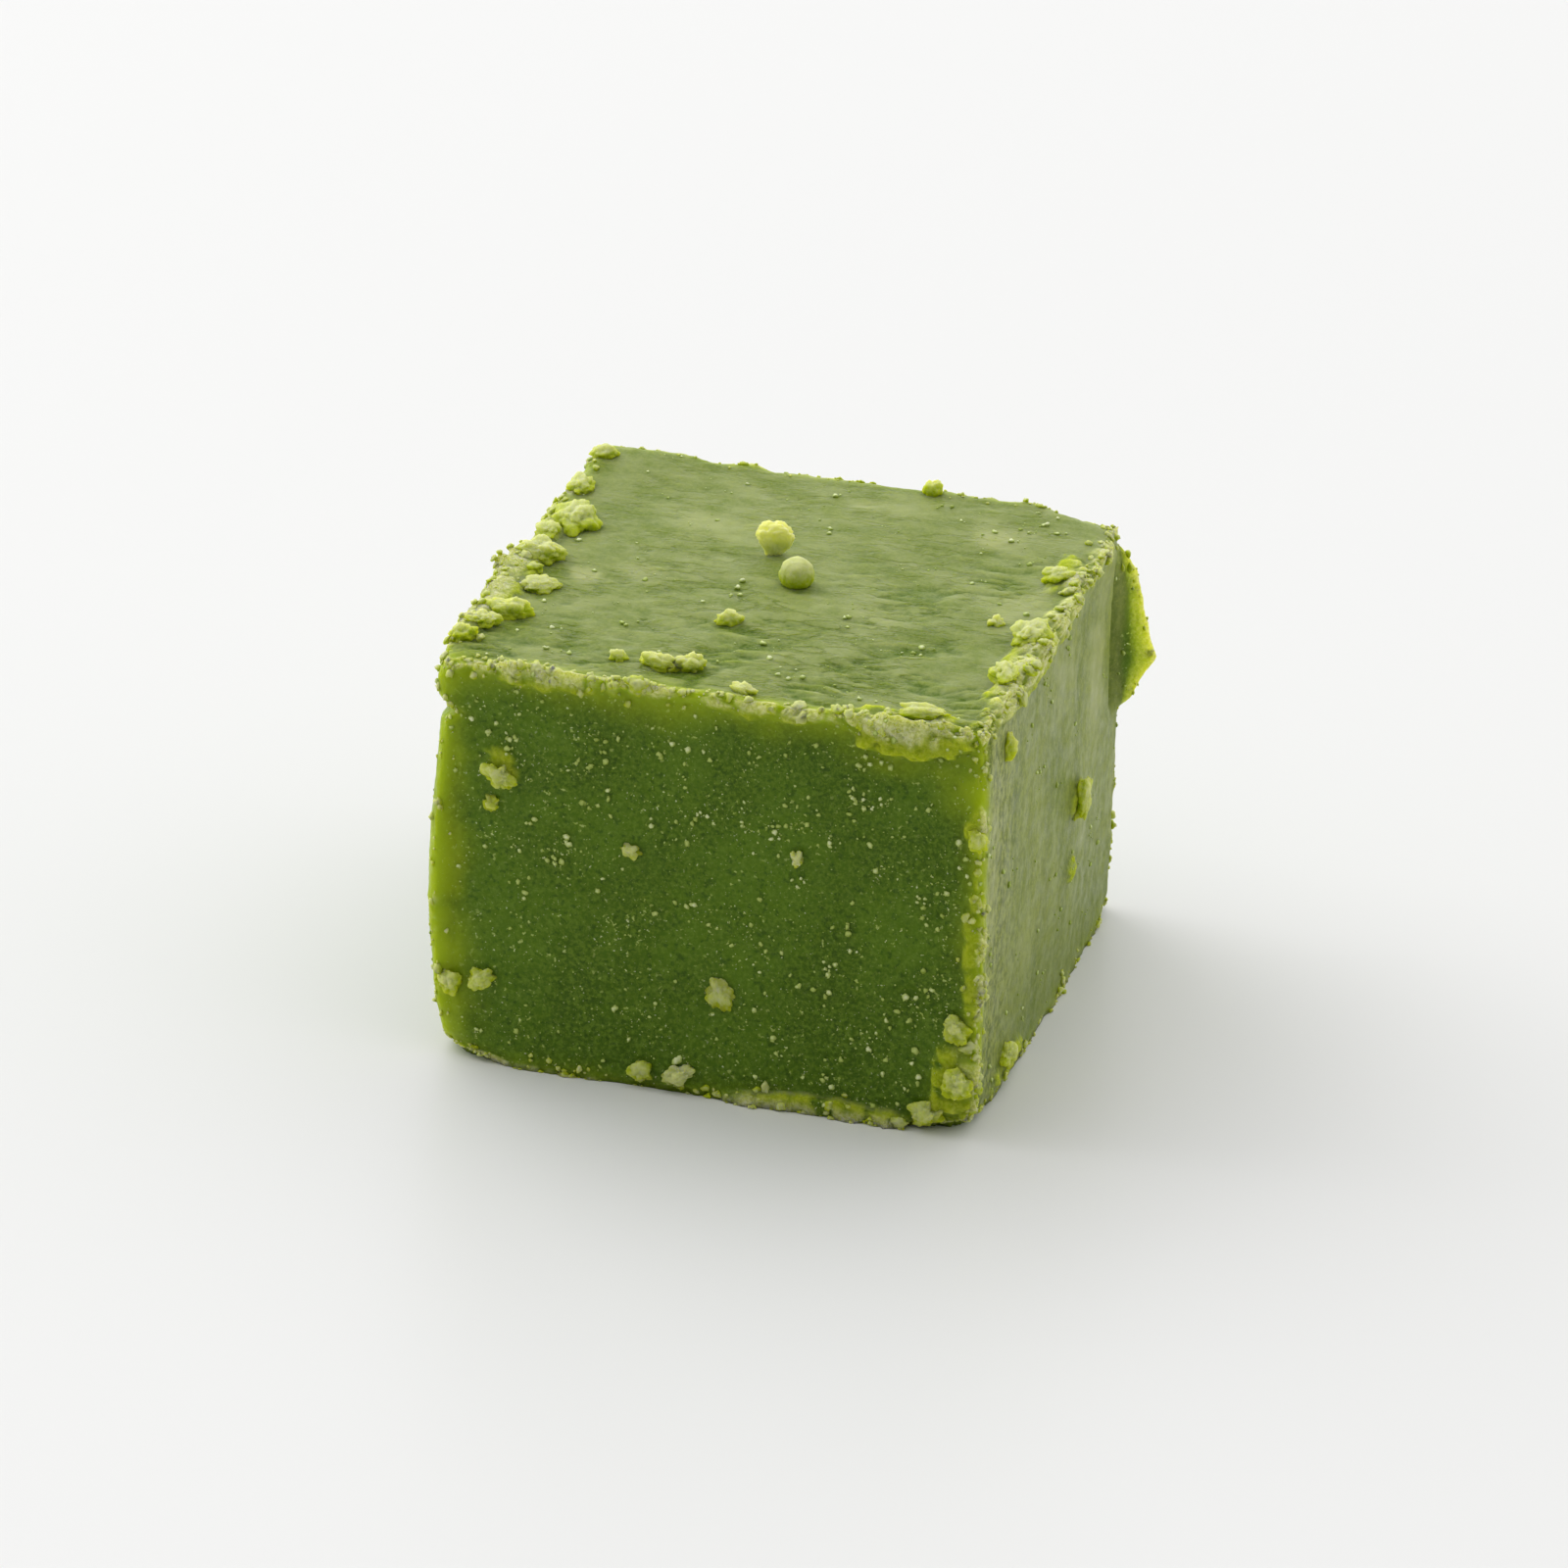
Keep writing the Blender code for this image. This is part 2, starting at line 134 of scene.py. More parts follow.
# Smeared patches of crumbly ganache: side, place across, place up or back, half width,
# half height, height.
SMEARS = [
    (FRONT, 8.0, 16.7, 3.0, 1.15, 0.36),
    (FRONT, 2.2, 16.9, 3.6, 0.55, 0.18),
    (FRONT, -6.6, 16.9, 4.0, 0.60, 0.20),
    (FRONT, 10.2, 2.3, 1.15, 2.3, 0.40),
    (FRONT, 10.7, 8.0, 0.55, 3.2, 0.22),
    (FRONT, 10.7, 13.0, 0.60, 1.4, 0.26),
    (FRONT, 5.0, 0.35, 5.6, 0.50, 0.38),
    (FRONT, -8.6, 12.9, 0.95, 1.10, 0.22),
    (TOP, 10.5, -4.0, 0.85, 5.6, 0.30),
    (TOP, 10.0, 4.6, 0.80, 2.6, 0.26),
    (TOP, -10.4, -2.0, 0.75, 7.4, 0.28),
    (TOP, 7.9, -10.4, 2.6, 0.65, 0.26),
    (RIGHT, -3.0, 16.7, 7.0, 0.60, 0.20),
    (RIGHT, 3.1, 8.4, 1.20, 0.90, 0.24),
    (RIGHT, 2.4, 5.5, 0.90, 0.60, 0.20),
    (RIGHT, -6.0, 0.9, 2.6, 0.70, 0.24),
    (LEFT, 5.5, 16.3, 3.0, 0.80, 0.26),
    (LEFT, -6.5, 1.1, 2.4, 0.90, 0.24),
    (LEFT, 2.0, 8.6, 1.30, 0.80, 0.18),
    (BACK, -5.0, 16.6, 3.4, 0.70, 0.24),
    (BACK, 4.2, 0.8, 4.2, 0.65, 0.26),
    (BACK, -2.6, 7.5, 1.10, 1.30, 0.18),
]
SMEAR_RAGGED_LENGTH = 1.1 * MM

# The flap that hangs over the front's upper right: side, place across, place up, half width,
# half height, and how far it stands out beyond its smear.
FLAP = (FRONT, 7.9, 17.0, 2.4, 1.30, 0.28)
FLAP_TORN_LENGTH = 0.7 * MM

# Finer relief than the solid has: torn ganache, the wrinkled top, the dragged right side and
# the pores all over.
CRUMBLE_LENGTHS = (0.60 * MM, 0.25 * MM)
WRINKLE_LENGTH = 0.80 * MM
WRINKLE_STRETCH = 3.0
WRINKLE_BEND_LENGTH = 2.4 * MM
WRINKLE_PATCH_LENGTH = 2.6 * MM
WRINKLE_HEIGHT = 0.18 * MM
STREAK_LENGTH = 1.70 * MM
STREAK_STRETCH = 3.2
STREAK_GRAIN_LENGTH = 0.50 * MM
STREAK_HEIGHT = 0.050 * MM
PORE_HEIGHT = 0.020 * MM
PORE_LENGTH = 0.30 * MM

# Light glows through the thin rims, and this glow is painted lime into the colour: how strongly
# beside each edge and how far in, and how far the pale crest of its lip reaches, pale partly with
# painted light.
RIMS = {
    "front_left": (0.80, 1.00, 0.25),
    "top_front": (0.75, 1.05, 0.60),
    "front_right": (0.85, 0.62, 0.22),
    "top_left": (0.55, 0.80, 0.85),
    "top_right": (0.45, 0.60, 0.80),
    "bottom_left": (0.60, 0.80, 0.35),
    "bottom_front": (0.30, 0.50, 0.45),
    "bottom_right": (0.20, 0.50, 0.45),
    "back_left": (0.55, 0.70, 0.30),
    "back_right": (0.50, 0.30, 0.15),
    "top_back": (0.45, 0.60, 0.55),
    "bottom_back": (0.30, 0.50, 0.45),
}
# A lip's pale crest, partly dry and partly painted light, lies on top of it, and the light shines
# out below it as painted glow.
CREST_LEAN = 1.3
GLOW_LEAN = 2.0
GLOW_UNEVEN_LENGTHS = (2.4 * MM, 0.7 * MM)

# Places where the ganache is thin, so that light glows through, painted lime into the colour:
# side, place across, place up or back, half width, half height, strength.
GLOWS = [
    (FRONT, 10.4, 14.9, 2.2, 2.2, 0.60),
    (FRONT, 10.4, 1.6, 1.9, 2.2, 0.45),
    (FRONT, -10.8, 5.0, 1.5, 6.0, 0.45),
    (FRONT, 7.2, 15.4, 3.2, 1.0, 0.40),
    (FRONT, -8.7, 12.9, 1.3, 1.5, 0.12),
]
# Soft whitish smudges where the skin has dried: side, place across, place up or back, half
# width, half height, strength.
SMUDGES = [
    (TOP, 6.8, 7.4, 1.6, 1.2, 0.9),
    (TOP, -7.9, -1.5, 0.75, 0.8, 1.6),
    (TOP, -4.2, 4.9, 2.4, 1.6, 0.5),
    (TOP, -6.0, -0.6, 1.6, 1.0, 0.6),
    (TOP, 3.5, -1.5, 2.6, 1.3, 0.4),
    (TOP, 9.0, 1.5, 1.6, 2.4, 0.6),
    (TOP, 1.5, 8.6, 3.2, 1.0, 0.4),
    (RIGHT, 6.5, 12.5, 1.6, 3.6, 0.7),
    (RIGHT, 1.0, 14.0, 2.6, 2.0, 0.4),
    (RIGHT, 4.8, 7.0, 1.2, 2.2, 0.5),
    (RIGHT, -9.8, 11.0, 1.4, 6.0, 0.45),
    (RIGHT, -4.0, 5.5, 1.8, 2.0, 0.3),
    (FRONT, 7.9, 17.2, 2.4, 1.0, 1.0),
    (FRONT, 10.6, 2.6, 0.9, 2.6, 0.4),
    (LEFT, 4.0, 14.4, 3.4, 1.6, 0.3),
    (BACK, -4.0, 14.6, 3.8, 1.5, 0.3),
]
SMUDGE_UNEVEN_LENGTHS = (0.9 * MM, 0.35 * MM)

# What each point of the block's skin is marked with, in the order that skin() gives.
MARKS = ("glow", "crest", "paste", "relief", "smudge")


def facing(side):
    """The unit vector that points out of a side."""
    axis, way = side
    direction = Vector((0.0, 0.0, 0.0))
    direction[axis] = way
    return direction


def depths_under(point):
    """How far a point, counted from the block's middle, lies under each side."""
    return {(axis, way): HALF[axis] - way * point[axis] for axis, way in SIDES}


def eased(low, high, value):
    """A smooth step from 0 at low to 1 at high."""
    share = max(0.0, min(1.0, (value - low) / (high - low)))
    return share * share * (3.0 - 2.0 * share)


def nearness(distance):
    """How much of an edge's or a corner's rounding is left this far from it."""
    return 1.0 / (1.0 + (distance / ROUNDING_SPAN) ** 4)


def rounding(under, distances):
    """The radius near a point: that of the nearest edge or corner, fading into the plain one."""
    radius = PLAIN_RADIUS
    for name, distance in distances.items():
        radius = max(radius, EDGES[name]["radius"] * MM * nearness(distance))
    for sides, corner_radius in CORNERS:
        distance = math.sqrt(sum(under[side] ** 2 for side in sides))
        radius = max(radius, corner_radius * MM * nearness(distance))
    return radius


def rounded(point, radius):
    """The place of a box point once the edges are rounded, and the way out of the surface there."""
    core = Vector(
        [max(radius - half, min(half - radius, value)) for value, half in zip(point, HALF)]
    )
    outward = (point - core).normalized()
    return core + outward * radius, outward


def running_axis(edge):
    """The axis that an edge runs along."""
    first, second = edge["sides"]
    return 3 - first[0] - second[0]


def ragged(place, seed):
    """An uneven strength along an edge, from 0.1 to about 1.5."""
    long_wave, short_wave = LIP_LENGTHS
    slow = noise.noise(Vector((place / long_wave, seed, 0.5)))
    quick = noise.noise(Vector((place / short_wave, seed, 7.5)))
    return max(0.1, 0.65 + 0.9 * slow + 0.55 * quick)


def crumble(point):
    """The unevenness of torn, crumbly ganache, about -1 to 1."""
    coarse, fine = CRUMBLE_LENGTHS
    return 0.65 * noise.noise(point / coarse) + 0.50 * noise.noise(point / fine)


def lip_push(point, distances, crumbly):
    """The push of the ragged lips along the edges, no longer than the longest where they meet."""
    push = Vector((0.0, 0.0, 0.0))
    longest = 0.0
    for number, (name, distance) in enumerate(distances.items()):
        edge = EDGES[name]
        reach = edge["reach"] * MM
        if distance > 3.0 * reach:
            continue
        first, second = edge["sides"]
        running = running_axis(edge)
        height = edge["lip"] * MM * ragged(point[running], LIP_SEED_STEP * number)
        way = facing(first) if second == BOTTOM else (facing(first) + facing(second)).normalized()
        strength = height * math.exp(-((distance / reach) ** 2)) * (1.0 + 1.2 * crumbly)
        push += way * strength
        longest = max(longest, strength)
    if push.length > longest:
        push *= longest / push.length
    return push


def closeness(patch, point, outward):
    """1 in a patch's middle, 0 on its rim and less beyond, and how squarely its side is faced."""
    (axis, way), across, along, half_width, half_height = patch[:5]
    squarely = eased(0.25, 0.75, outward[axis] * way)
    if squarely == 0.0:
        return -1.0, 0.0
    first = point.y if axis == 0 else point.x
    second = point.y if axis == 2 else point.z + MIDDLE.z
    away = math.hypot(
        (first - across * MM) / (half_width * MM),
        (second - along * MM) / (half_height * MM),
    )
    return 1.0 - away, squarely


def smear_lift(point, outward, crumbly):
    """How far the smeared patches stand out, and how much of a smear the place is."""
    lift = 0.0
    cover = 0.0
    ragged_rim = 0.35 * noise.noise((point + MIDDLE) / SMEAR_RAGGED_LENGTH) - 0.22 * crumbly
    for patch in SMEARS:
        inside, squarely = closeness(patch, point, outward)
        share = eased(0.0, 0.50, inside - ragged_rim) * squarely
        lift = max(lift, patch[5] * MM * share * (0.85 + 0.55 * crumbly))
        cover = max(cover, share)
    return lift, cover


def flap_share(point, outward, crumbly):
    """How much of the hanging flap a place is: its rim is torn and sharp."""
    torn = 0.45 * noise.noise((point + MIDDLE) / FLAP_TORN_LENGTH) + 0.20 * crumbly
    inside, squarely = closeness(FLAP, point, outward)
    return eased(0.0, 0.14, inside + torn) * squarely


def bulge_lift(point, outward):
    """How far the broad swellings stand out at a point of the surface."""
    lift = 0.0
    for patch in BULGES:
        inside, squarely = closeness(patch, point, outward)
        lift += patch[5] * MM * eased(0.0, 1.0, inside) * squarely
    return lift


def wave_lift(point):
    """The slow unevenness of a soft block cut by hand."""
    return WAVE_HEIGHT * noise.noise(point / WAVE_LENGTH + Vector((4.2, 1.7, 9.3)))


def fold_push(point, under):
    """The overhanging corner at the top left, and the crease below it."""
    below = under[TOP]
    near_left = 1.0 - eased(0.4 * MM, 1.6 * MM, under[LEFT])
    near_front = 1.0 - eased(FOLD_BACK_END - 5.0 * MM, FOLD_BACK_END, point.y)
    crease = math.exp(-(((below - FOLD_BELOW_TOP) / FOLD_HALF_HEIGHT) ** 2))
    overhang = 1.0 - eased(FOLD_BELOW_TOP - FOLD_HALF_HEIGHT, FOLD_BELOW_TOP, below)
    outwards = FOLD_OVERHANG * overhang - FOLD_DEPTH * crease
    return facing(LEFT) * outwards * near_left * near_front


def fin_push(point, under, distance):
    """The thin fin drawn out of the back right edge, the crease beside it, and its share."""
    above_tip = point.z + MIDDLE.z - FIN_TIP_Z
    length = FIN_LENGTH_UP if above_tip > 0 else FIN_LENGTH_DOWN
    taper = max(0.0, 1.0 - abs(above_tip) / length)
    reach = FIN_REACH * taper**1.8 + FIN_SWELL * eased(0.0, 0.30, taper)
    thin = math.exp(-((distance / FIN_HALF_THICKNESS) ** 2))
    beside = (under[BACK] - FIN_CREASE_IN) / FIN_CREASE_HALF_WIDTH
    on_side = 1.0 - eased(0.0, 0.3 * MM, under[RIGHT])
    crease = eased(0.0, 0.6, taper) * math.exp(-(beside**2)) * on_side
    push = Vector((1.0, 0.12, 0.0)) * reach * thin - facing(RIGHT) * FIN_CREASE_DEPTH * crease
    return push, crease, thin * eased(0.0, 0.25, taper)


def wrinkle(point, outward):
    """The wrinkled skin of the top: folds that run across, with thin creases between them."""
    if outward.z < 0.5:
        return 0.0
    bend = 0.9 * noise.noise(point / WRINKLE_BEND_LENGTH)
    along = point.x / (WRINKLE_LENGTH * WRINKLE_STRETCH)
    fold = Vector((along, point.y / WRINKLE_LENGTH + bend, 3.3))
    broad = min(1.0, 3.2 * abs(noise.noise(fold)))
    fine = min(1.0, 3.0 * abs(noise.noise(fold * 2.1 + Vector((5.0, 5.0, 5.0)))))
    patch = noise.noise(point / WRINKLE_PATCH_LENGTH + Vector((7.0, 2.0, 5.0)))
    patchy = eased(-0.30, 0.30, patch)
    forward = 0.40 + 0.60 * eased(-4.0, 6.0, (point.x - 1.4 * point.y) / MM / 2)
    depth = (0.60 * (1.0 - broad) ** 1.5 + 0.45 * (1.0 - fine)) * patchy * forward
    return -depth * eased(0.5, 0.9, outward.z)


def drag(point, outward):
    """The soft drag marks of the right side, which run up and down, and its coarse grain."""
    if outward.x < 0.5:
        return 0.0
    behind = eased(-10.0 * MM, -6.5 * MM, point.y)
    groove = Vector((1.1, point.y / STREAK_LENGTH, point.z / (STREAK_LENGTH * STREAK_STRETCH)))
    torn = (0.7 * noise.noise(groove) + 0.2 * noise.noise(groove * 2.3)) * (0.2 + 0.6 * behind)
    spot = Vector((point.x, point.y, point.z / 1.3)) / STREAK_GRAIN_LENGTH
    coarse = 0.6 * noise.noise(spot) + 0.6 * noise.noise(spot * 2.3)
    return (torn + 0.7 * coarse * (1.0 - 0.65 * behind)) * eased(0.5, 0.9, outward.x)


def rim_marks(point, outward, under):
    """How much glow is painted on a place near the rims, where light shines through, and how much
    of a lip's crest it is.
    """
    dull = 1.0
    crest = 0.0
    slow, quick = (noise.noise(point / length) for length in GLOW_UNEVEN_LENGTHS)
    uneven = 1.0 + 0.5 * slow + 0.25 * quick
    for name, (strength, reach, pale_reach) in RIMS.items():
        first, second = (under[side] / MM for side in EDGES[name]["sides"])
        on_top = EDGES[name]["sides"][0] == TOP
        glow_distance = math.hypot(first, second * (GLOW_LEAN if on_top else 1.0)) / uneven
        dull *= 1.0 - strength * math.exp(-((glow_distance / reach) ** 2))
        crest_distance = math.hypot(first * (CREST_LEAN if on_top else 1.0), second)
        crest = max(crest, math.exp(-((crest_distance / pale_reach) ** 2)))
    for patch in GLOWS:
        inside, squarely = closeness(patch, point, outward)
        dull *= 1.0 - patch[5] * squarely * eased(0.0, 1.0, inside * uneven)
    return 1.0 - dull, crest


def smudge_share(point, outward):
    """How much of a whitish smudge a place is."""
    share = 0.0
    slow, quick = (noise.noise(point / length) for length in SMUDGE_UNEVEN_LENGTHS)
    wander = 0.5 * slow + 0.25 * quick
    for patch in SMUDGES:
        inside, squarely = closeness(patch, point, outward)
        share = max(share, patch[5] * squarely * eased(-0.1, 0.8, inside + wander))
    return min(1.0, share)


def skin(point):
    """The finished surface at a point of the plain box: its place, its way out and its marks.

    The marks are how much glow is painted on the place where light glows through, how much of a
    lip's crest it is, pale partly with painted light, how much crumbly paste covers it, the height
    of the finest wrinkles, and how smudged it is.
    """
    under = depths_under(point)
    distances = {
        name: math.hypot(under[edge["sides"][0]], under[edge["sides"][1]])
        for name, edge in EDGES.items()
    }
    surface, outward = rounded(point, rounding(under, distances))
    glow, crest = rim_marks(point, outward, under)
    cover = 0.0
    relief = 0.0
    smudge = smudge_share(point, outward)
    if outward.z > -0.9:
        crumbly = crumble(point + MIDDLE)
        smear, smeared = smear_lift(point, outward, crumbly)
        flap = flap_share(point, outward, crumbly)
        smeared = max(smeared, flap)
        wrinkled, dragged = wrinkle(point, outward), drag(point, outward)
        relief = wrinkled + dragged
        lift = wave_lift(point) + bulge_lift(point, outward) + smear
        lift += FLAP[5] * MM * flap * (1.0 + 0.5 * crumbly)
        lift += WRINKLE_HEIGHT * wrinkled + STREAK_HEIGHT * dragged
        lift += PORE_HEIGHT * noise.noise(point / PORE_LENGTH)
        push = lip_push(point, distances, crumbly)
        surface += outward * lift + push + fold_push(point, under)
        fin, crease, on_fin = fin_push(point, under, distances["back_right"])
        surface += fin
        relief -= crease
        crest = eased(0.15, 0.75, max(crest, smudge) + 0.25 * crumbly)
        lip = eased(0.05 * MM, 0.28 * MM, push.length)
        cover = max(smeared, lip) * eased(-0.60, 0.20, crumbly)
        cover = max(cover, 0.9 * eased(0.08, 0.60, on_fin), 0.9 * flap)
        # The thin fin takes part of the lit crest colour: painted glow of the light through it.
        crest = max(crest, 0.45 * on_fin)
    surface += MIDDLE
    if surface.z < SETTLED_HEIGHT:
        surface.z = 0.0
    return surface, outward, (glow, crest, cover, relief, smudge)


# ---------------------------------------------------------------------------------------------
# Crumbs.
# ---------------------------------------------------------------------------------------------

# Crumbs stuck on the block: side, place across, place up or back, width, height or length
# along the side, how far they stand out, their turn in degrees, and how pale they are: up to
# 1, and above it where a crumb is dry and milky all through.
CRUMBS = [
    (TOP, -1.4, 2.8, 2.00, 0.95, 1.40, 12, 3.2),
    (TOP, 0.2, 0.2, 1.40, 1.30, 1.15, 0, 1.1),
    (TOP, -1.3, -4.1, 1.10, 0.75, 0.42, 20, 0.5),
    (TOP, -2.8, -9.0, 1.35, 0.80, 0.52, -10, 0.5),
    (TOP, -2.2, -8.8, 0.95, 0.70, 0.36, 40, 0.3),
    (TOP, -1.6, -8.6, 1.20, 0.80, 0.52, 15, 0.8),
    (TOP, -4.5, -8.7, 0.75, 0.70, 0.38, 0, 0.5),
    (TOP, 1.0, -10.3, 1.15, 0.60, 0.38, -25, 1.0),
    (TOP, 8.6, -0.9, 0.70, 0.60, 0.30, 20, 0.8),
    (TOP, -9.7, -6.2, 1.85, 1.10, 0.70, 12, 0.3),
    (TOP, -9.4, -3.3, 1.60, 1.20, 0.42, 30, 0.8),
    (TOP, -10.2, -7.5, 1.20, 1.00, 0.32, 0, 0.5),
    (TOP, -10.1, -0.6, 1.90, 1.30, 0.58, -8, 0.8),
    (TOP, -10.4, 1.5, 1.00, 1.40, 0.40, 10, 0.3),
    (TOP, -9.8, 3.2, 1.75, 2.30, 0.78, 10, 0.3),
    (TOP, -10.5, 6.6, 1.10, 1.80, 0.42, 0, 0.3),
    (TOP, -10.5, -8.9, 1.15, 0.95, 0.52, 25, 0.3),
    (TOP, -10.5, 9.8, 1.10, 1.00, 0.36, 0, 0.5),
    (TOP, 3.0, 10.6, 0.80, 0.60, 0.60, 25, 0.3),
    (TOP, 10.3, -2.4, 1.40, 2.00, 0.55, -8, 0.5),
    (TOP, 10.3, -6.2, 1.10, 1.60, 0.42, 15, 0.3),
    (TOP, 9.9, 4.0, 1.00, 1.30, 0.36, -30, 0.3),
    (TOP, 8.2, -10.4, 1.90, 0.90, 0.38, 5, 0.8),
    (FRONT, -9.1, 3.7, 1.15, 0.85, 0.50, 20, 0.3),
    (FRONT, -10.3, 3.4, 0.95, 1.05, 0.45, 0, 0.4),
    (FRONT, -8.4, 12.6, 0.95, 1.30, 0.35, 60, 0.4),
    (FRONT, -8.8, 11.3, 0.65, 0.60, 0.30, 0, 0.2),
    (FRONT, 0.6, 4.5, 1.00, 1.30, 0.25, 15, 0.5),
    (FRONT, -3.1, 10.1, 0.80, 0.50, 0.28, -10, 0.7),
    (FRONT, 3.6, 10.8, 0.50, 0.70, 0.35, 10, 0.8),
    (FRONT, -2.5, 0.75, 0.95, 0.85, 0.45, 0, 0.4),
    (FRONT, -0.9, 0.8, 1.20, 0.80, 0.45, 25, 1.0),
    (FRONT, 10.2, 4.6, 0.95, 1.15, 0.50, 35, 0.4),
    (FRONT, 10.3, 2.4, 1.15, 1.35, 0.55, -20, 0.3),
    (FRONT, 9.2, 0.9, 1.40, 0.95, 0.50, 10, 0.5),
    (FRONT, 10.7, 12.8, 0.70, 0.95, 0.40, 15, 0.3),
    (RIGHT, -7.9, 15.4, 1.10, 0.60, 0.40, 80, 0.3),
    (RIGHT, 3.1, 8.4, 1.70, 1.10, 0.40, 70, 0.5),
    (RIGHT, -6.5, 1.4, 1.30, 0.95, 0.45, 10, 0.4),
    (LEFT, 6.0, 15.6, 1.60, 1.10, 0.55, 20, 0.5),
    (LEFT, -1.5, 9.6, 1.20, 0.90, 0.40, 45, 0.3),
    (LEFT, 7.6, 4.2, 1.00, 1.10, 0.40, 0, 0.6),
    (BACK, -6.4, 13.6, 1.40, 1.10, 0.45, 30, 0.4),
    (BACK, 3.4, 6.2, 1.00, 1.30, 0.40, -20, 0.2),
    (BACK, 7.2, 1.4, 1.40, 0.90, 0.50, 5, 0.6),
]
CRUMB_SUNK_SHARE = 0.42

# Crumbs that stand free instead of being pressed in: which of the list they are, the share
# that is sunk, and how much narrower their foot is than their top.
STANDING_CRUMBS = {0: (0.12, 0.45), 1: (0.15, 0.0)}
CRUMB_SEED = 41

# How much more the looks narrow such a foot than the solid does.
FOOT_NARROWING = 1.4

# How uneven the crumbs are: a free flake, a free ball, a scale, which stands out less than the
# height below, any other crumb, and a small grain.
LUMPINESS = {"flake": 0.34, "ball": 0.10, "scale": 0.60, "crumb": 0.48, "grain": 0.60}
SCALE_HEIGHT = 0.36

# Crumbs wider than this have a finer mesh.
FINE_MESH_WIDTH = 1.1

# How a lump swells: how many swellings go round it, and how high they are.
SWELLINGS = ((1.3, 0.9), (2.6, 0.5), (6.3, 0.22))

# Small crumbs along the edges: how many to a millimetre of a lip of the usual height, their
# sizes, how far the small ones outnumber the large, and how far they spread.
EDGE_CRUMBS_PER_MM = 12.0
USUAL_LIP = 0.3
EDGE_CRUMB_SIZES = (0.12, 0.46)
EDGE_CRUMB_BIAS = 2.2
EDGE_CRUMB_SPREAD = 0.30

# Larger scraps pressed flat along some edges: how many to a millimetre, and between which
# places along the edge.
EDGE_SCRAPS = {
    "bottom_front": (2.2, -1.0, 10.0),
    "bottom_left": (0.7, -9.0, 9.0),
    "bottom_back": (0.8, -9.0, 9.0),
    "front_right": (1.5, -8.0, -1.0),
    "top_left": (1.6, -9.0, 7.0),
    "top_right": (1.8, -8.0, 5.0),
    "top_front": (1.0, -8.5, 10.0),
    "back_left": (0.5, -7.0, 7.0),
}
SCRAP_SIZES = (0.30, 0.85)
SCRAP_BIAS = 2.0
SCRAP_SPREAD = 0.42
SCRAP_SUNK_SHARE = 0.5
SCRAP_SEED = 46

# The grains that show on a crumb's skin, and the deepest dent between them as a share of it.
CRUMB_GRAIN = 0.23 * MM
CRUMB_GRAIN_DEPTH = 0.30 * MM
DEEPEST_DENT = 0.26

# Crumbs stay this far above the ground.
CRUMB_CLEARANCE = 0.02 * MM

# Fine specks on the open sides: how many groups on each, how many in a group and how far they
# spread in millimetres, and their sizes.
SPECK_GROUPS = {FRONT: 520, TOP: 170, RIGHT: 110, LEFT: 300, BACK: 300}
SPECKS_IN_GROUP = (1, 5)
SPECK_SPREAD = 0.34
SPECK_SIZES = (0.07, 0.30)
SPECK_BIAS = 3.2
SPECK_SEED = 48

# Specks wider than this have a finer mesh.
FINE_SPECK_WIDTH = 0.16

# The front's most visible specks: place across, place up, how many lie together, width, and
# how pale they are.
BRIGHT_SPECKS = [
    (-5.6, 10.1, 3, 0.28, 1.0),
    (-6.3, 9.4, 5, 0.20, 0.5),
    (-2.4, 11.3, 2, 0.22, 0.9),
    (-0.3, 12.0, 6, 0.16, 1.0),
    (1.4, 11.6, 4, 0.16, 0.7),
    (2.7, 11.5, 3, 0.20, 1.0),
    (3.7, 9.8, 4, 0.18, 1.0),
    (5.8, 13.7, 7, 0.17, 0.7),
    (6.6, 13.5, 5, 0.20, 1.0),
    (-4.4, 8.2, 1, 0.30, 0.6),
    (-0.6, 7.9, 2, 0.24, 0.6),
    (5.0, 6.3, 6, 0.18, 0.8),
    (5.9, 7.2, 3, 0.16, 1.0),
    (8.1, 5.6, 1, 0.32, 0.9),
    (7.4, 4.6, 3, 0.20, 0.8),
    (6.7, 3.1, 1, 0.32, 1.0),
    (-3.5, 3.2, 2, 0.34, 0.7),
    (-2.2, 3.1, 1, 0.26, 0.7),
    (-0.9, 1.5, 2, 0.34, 0.9),
    (2.7, 2.9, 2, 0.24, 0.5),
    (-8.9, 14.6, 3, 0.30, 0.8),
    (-8.0, 14.2, 4, 0.22, 0.7),
    (-7.2, 10.8, 3, 0.20, 0.6),
    (8.6, 9.8, 5, 0.17, 0.8),
]
BRIGHT_SPREAD = 0.18
BRIGHT_SEED = 50


def side_frame(side, across, along, turn):
    """The matrix that lays a thing's X across a side, its Y along it and its Z out of the skin."""
    out = facing(side)
    up = Vector((0.0, 1.0, 0.0)) if side[0] == 2 else Vector((0.0, 0.0, 1.0))
    point = out * HALF[side[0]]
    point[1 if side[0] == 0 else 0] = across * MM
    if side[0] == 2:
        point[1] = along * MM
    else:
        point[2] = along * MM - MIDDLE.z
    point = Vector([max(-half, min(half, value)) for value, half in zip(point, HALF)])
    place, outward, _ = skin(point)
    sideways = up.cross(outward).normalized()
    axes = Matrix((sideways, outward.cross(sideways), outward)).transposed().to_4x4()
    return Matrix.Translation(place) @ axes @ Matrix.Rotation(math.radians(turn), 4, "Z")


def seated(placed, height, sunk=CRUMB_SUNK_SHARE):
    """The middle of a crumb this high, so that a share of it is sunk in the block."""
    return placed @ Matrix.Translation((0.0, 0.0, height * (0.5 - sunk)))


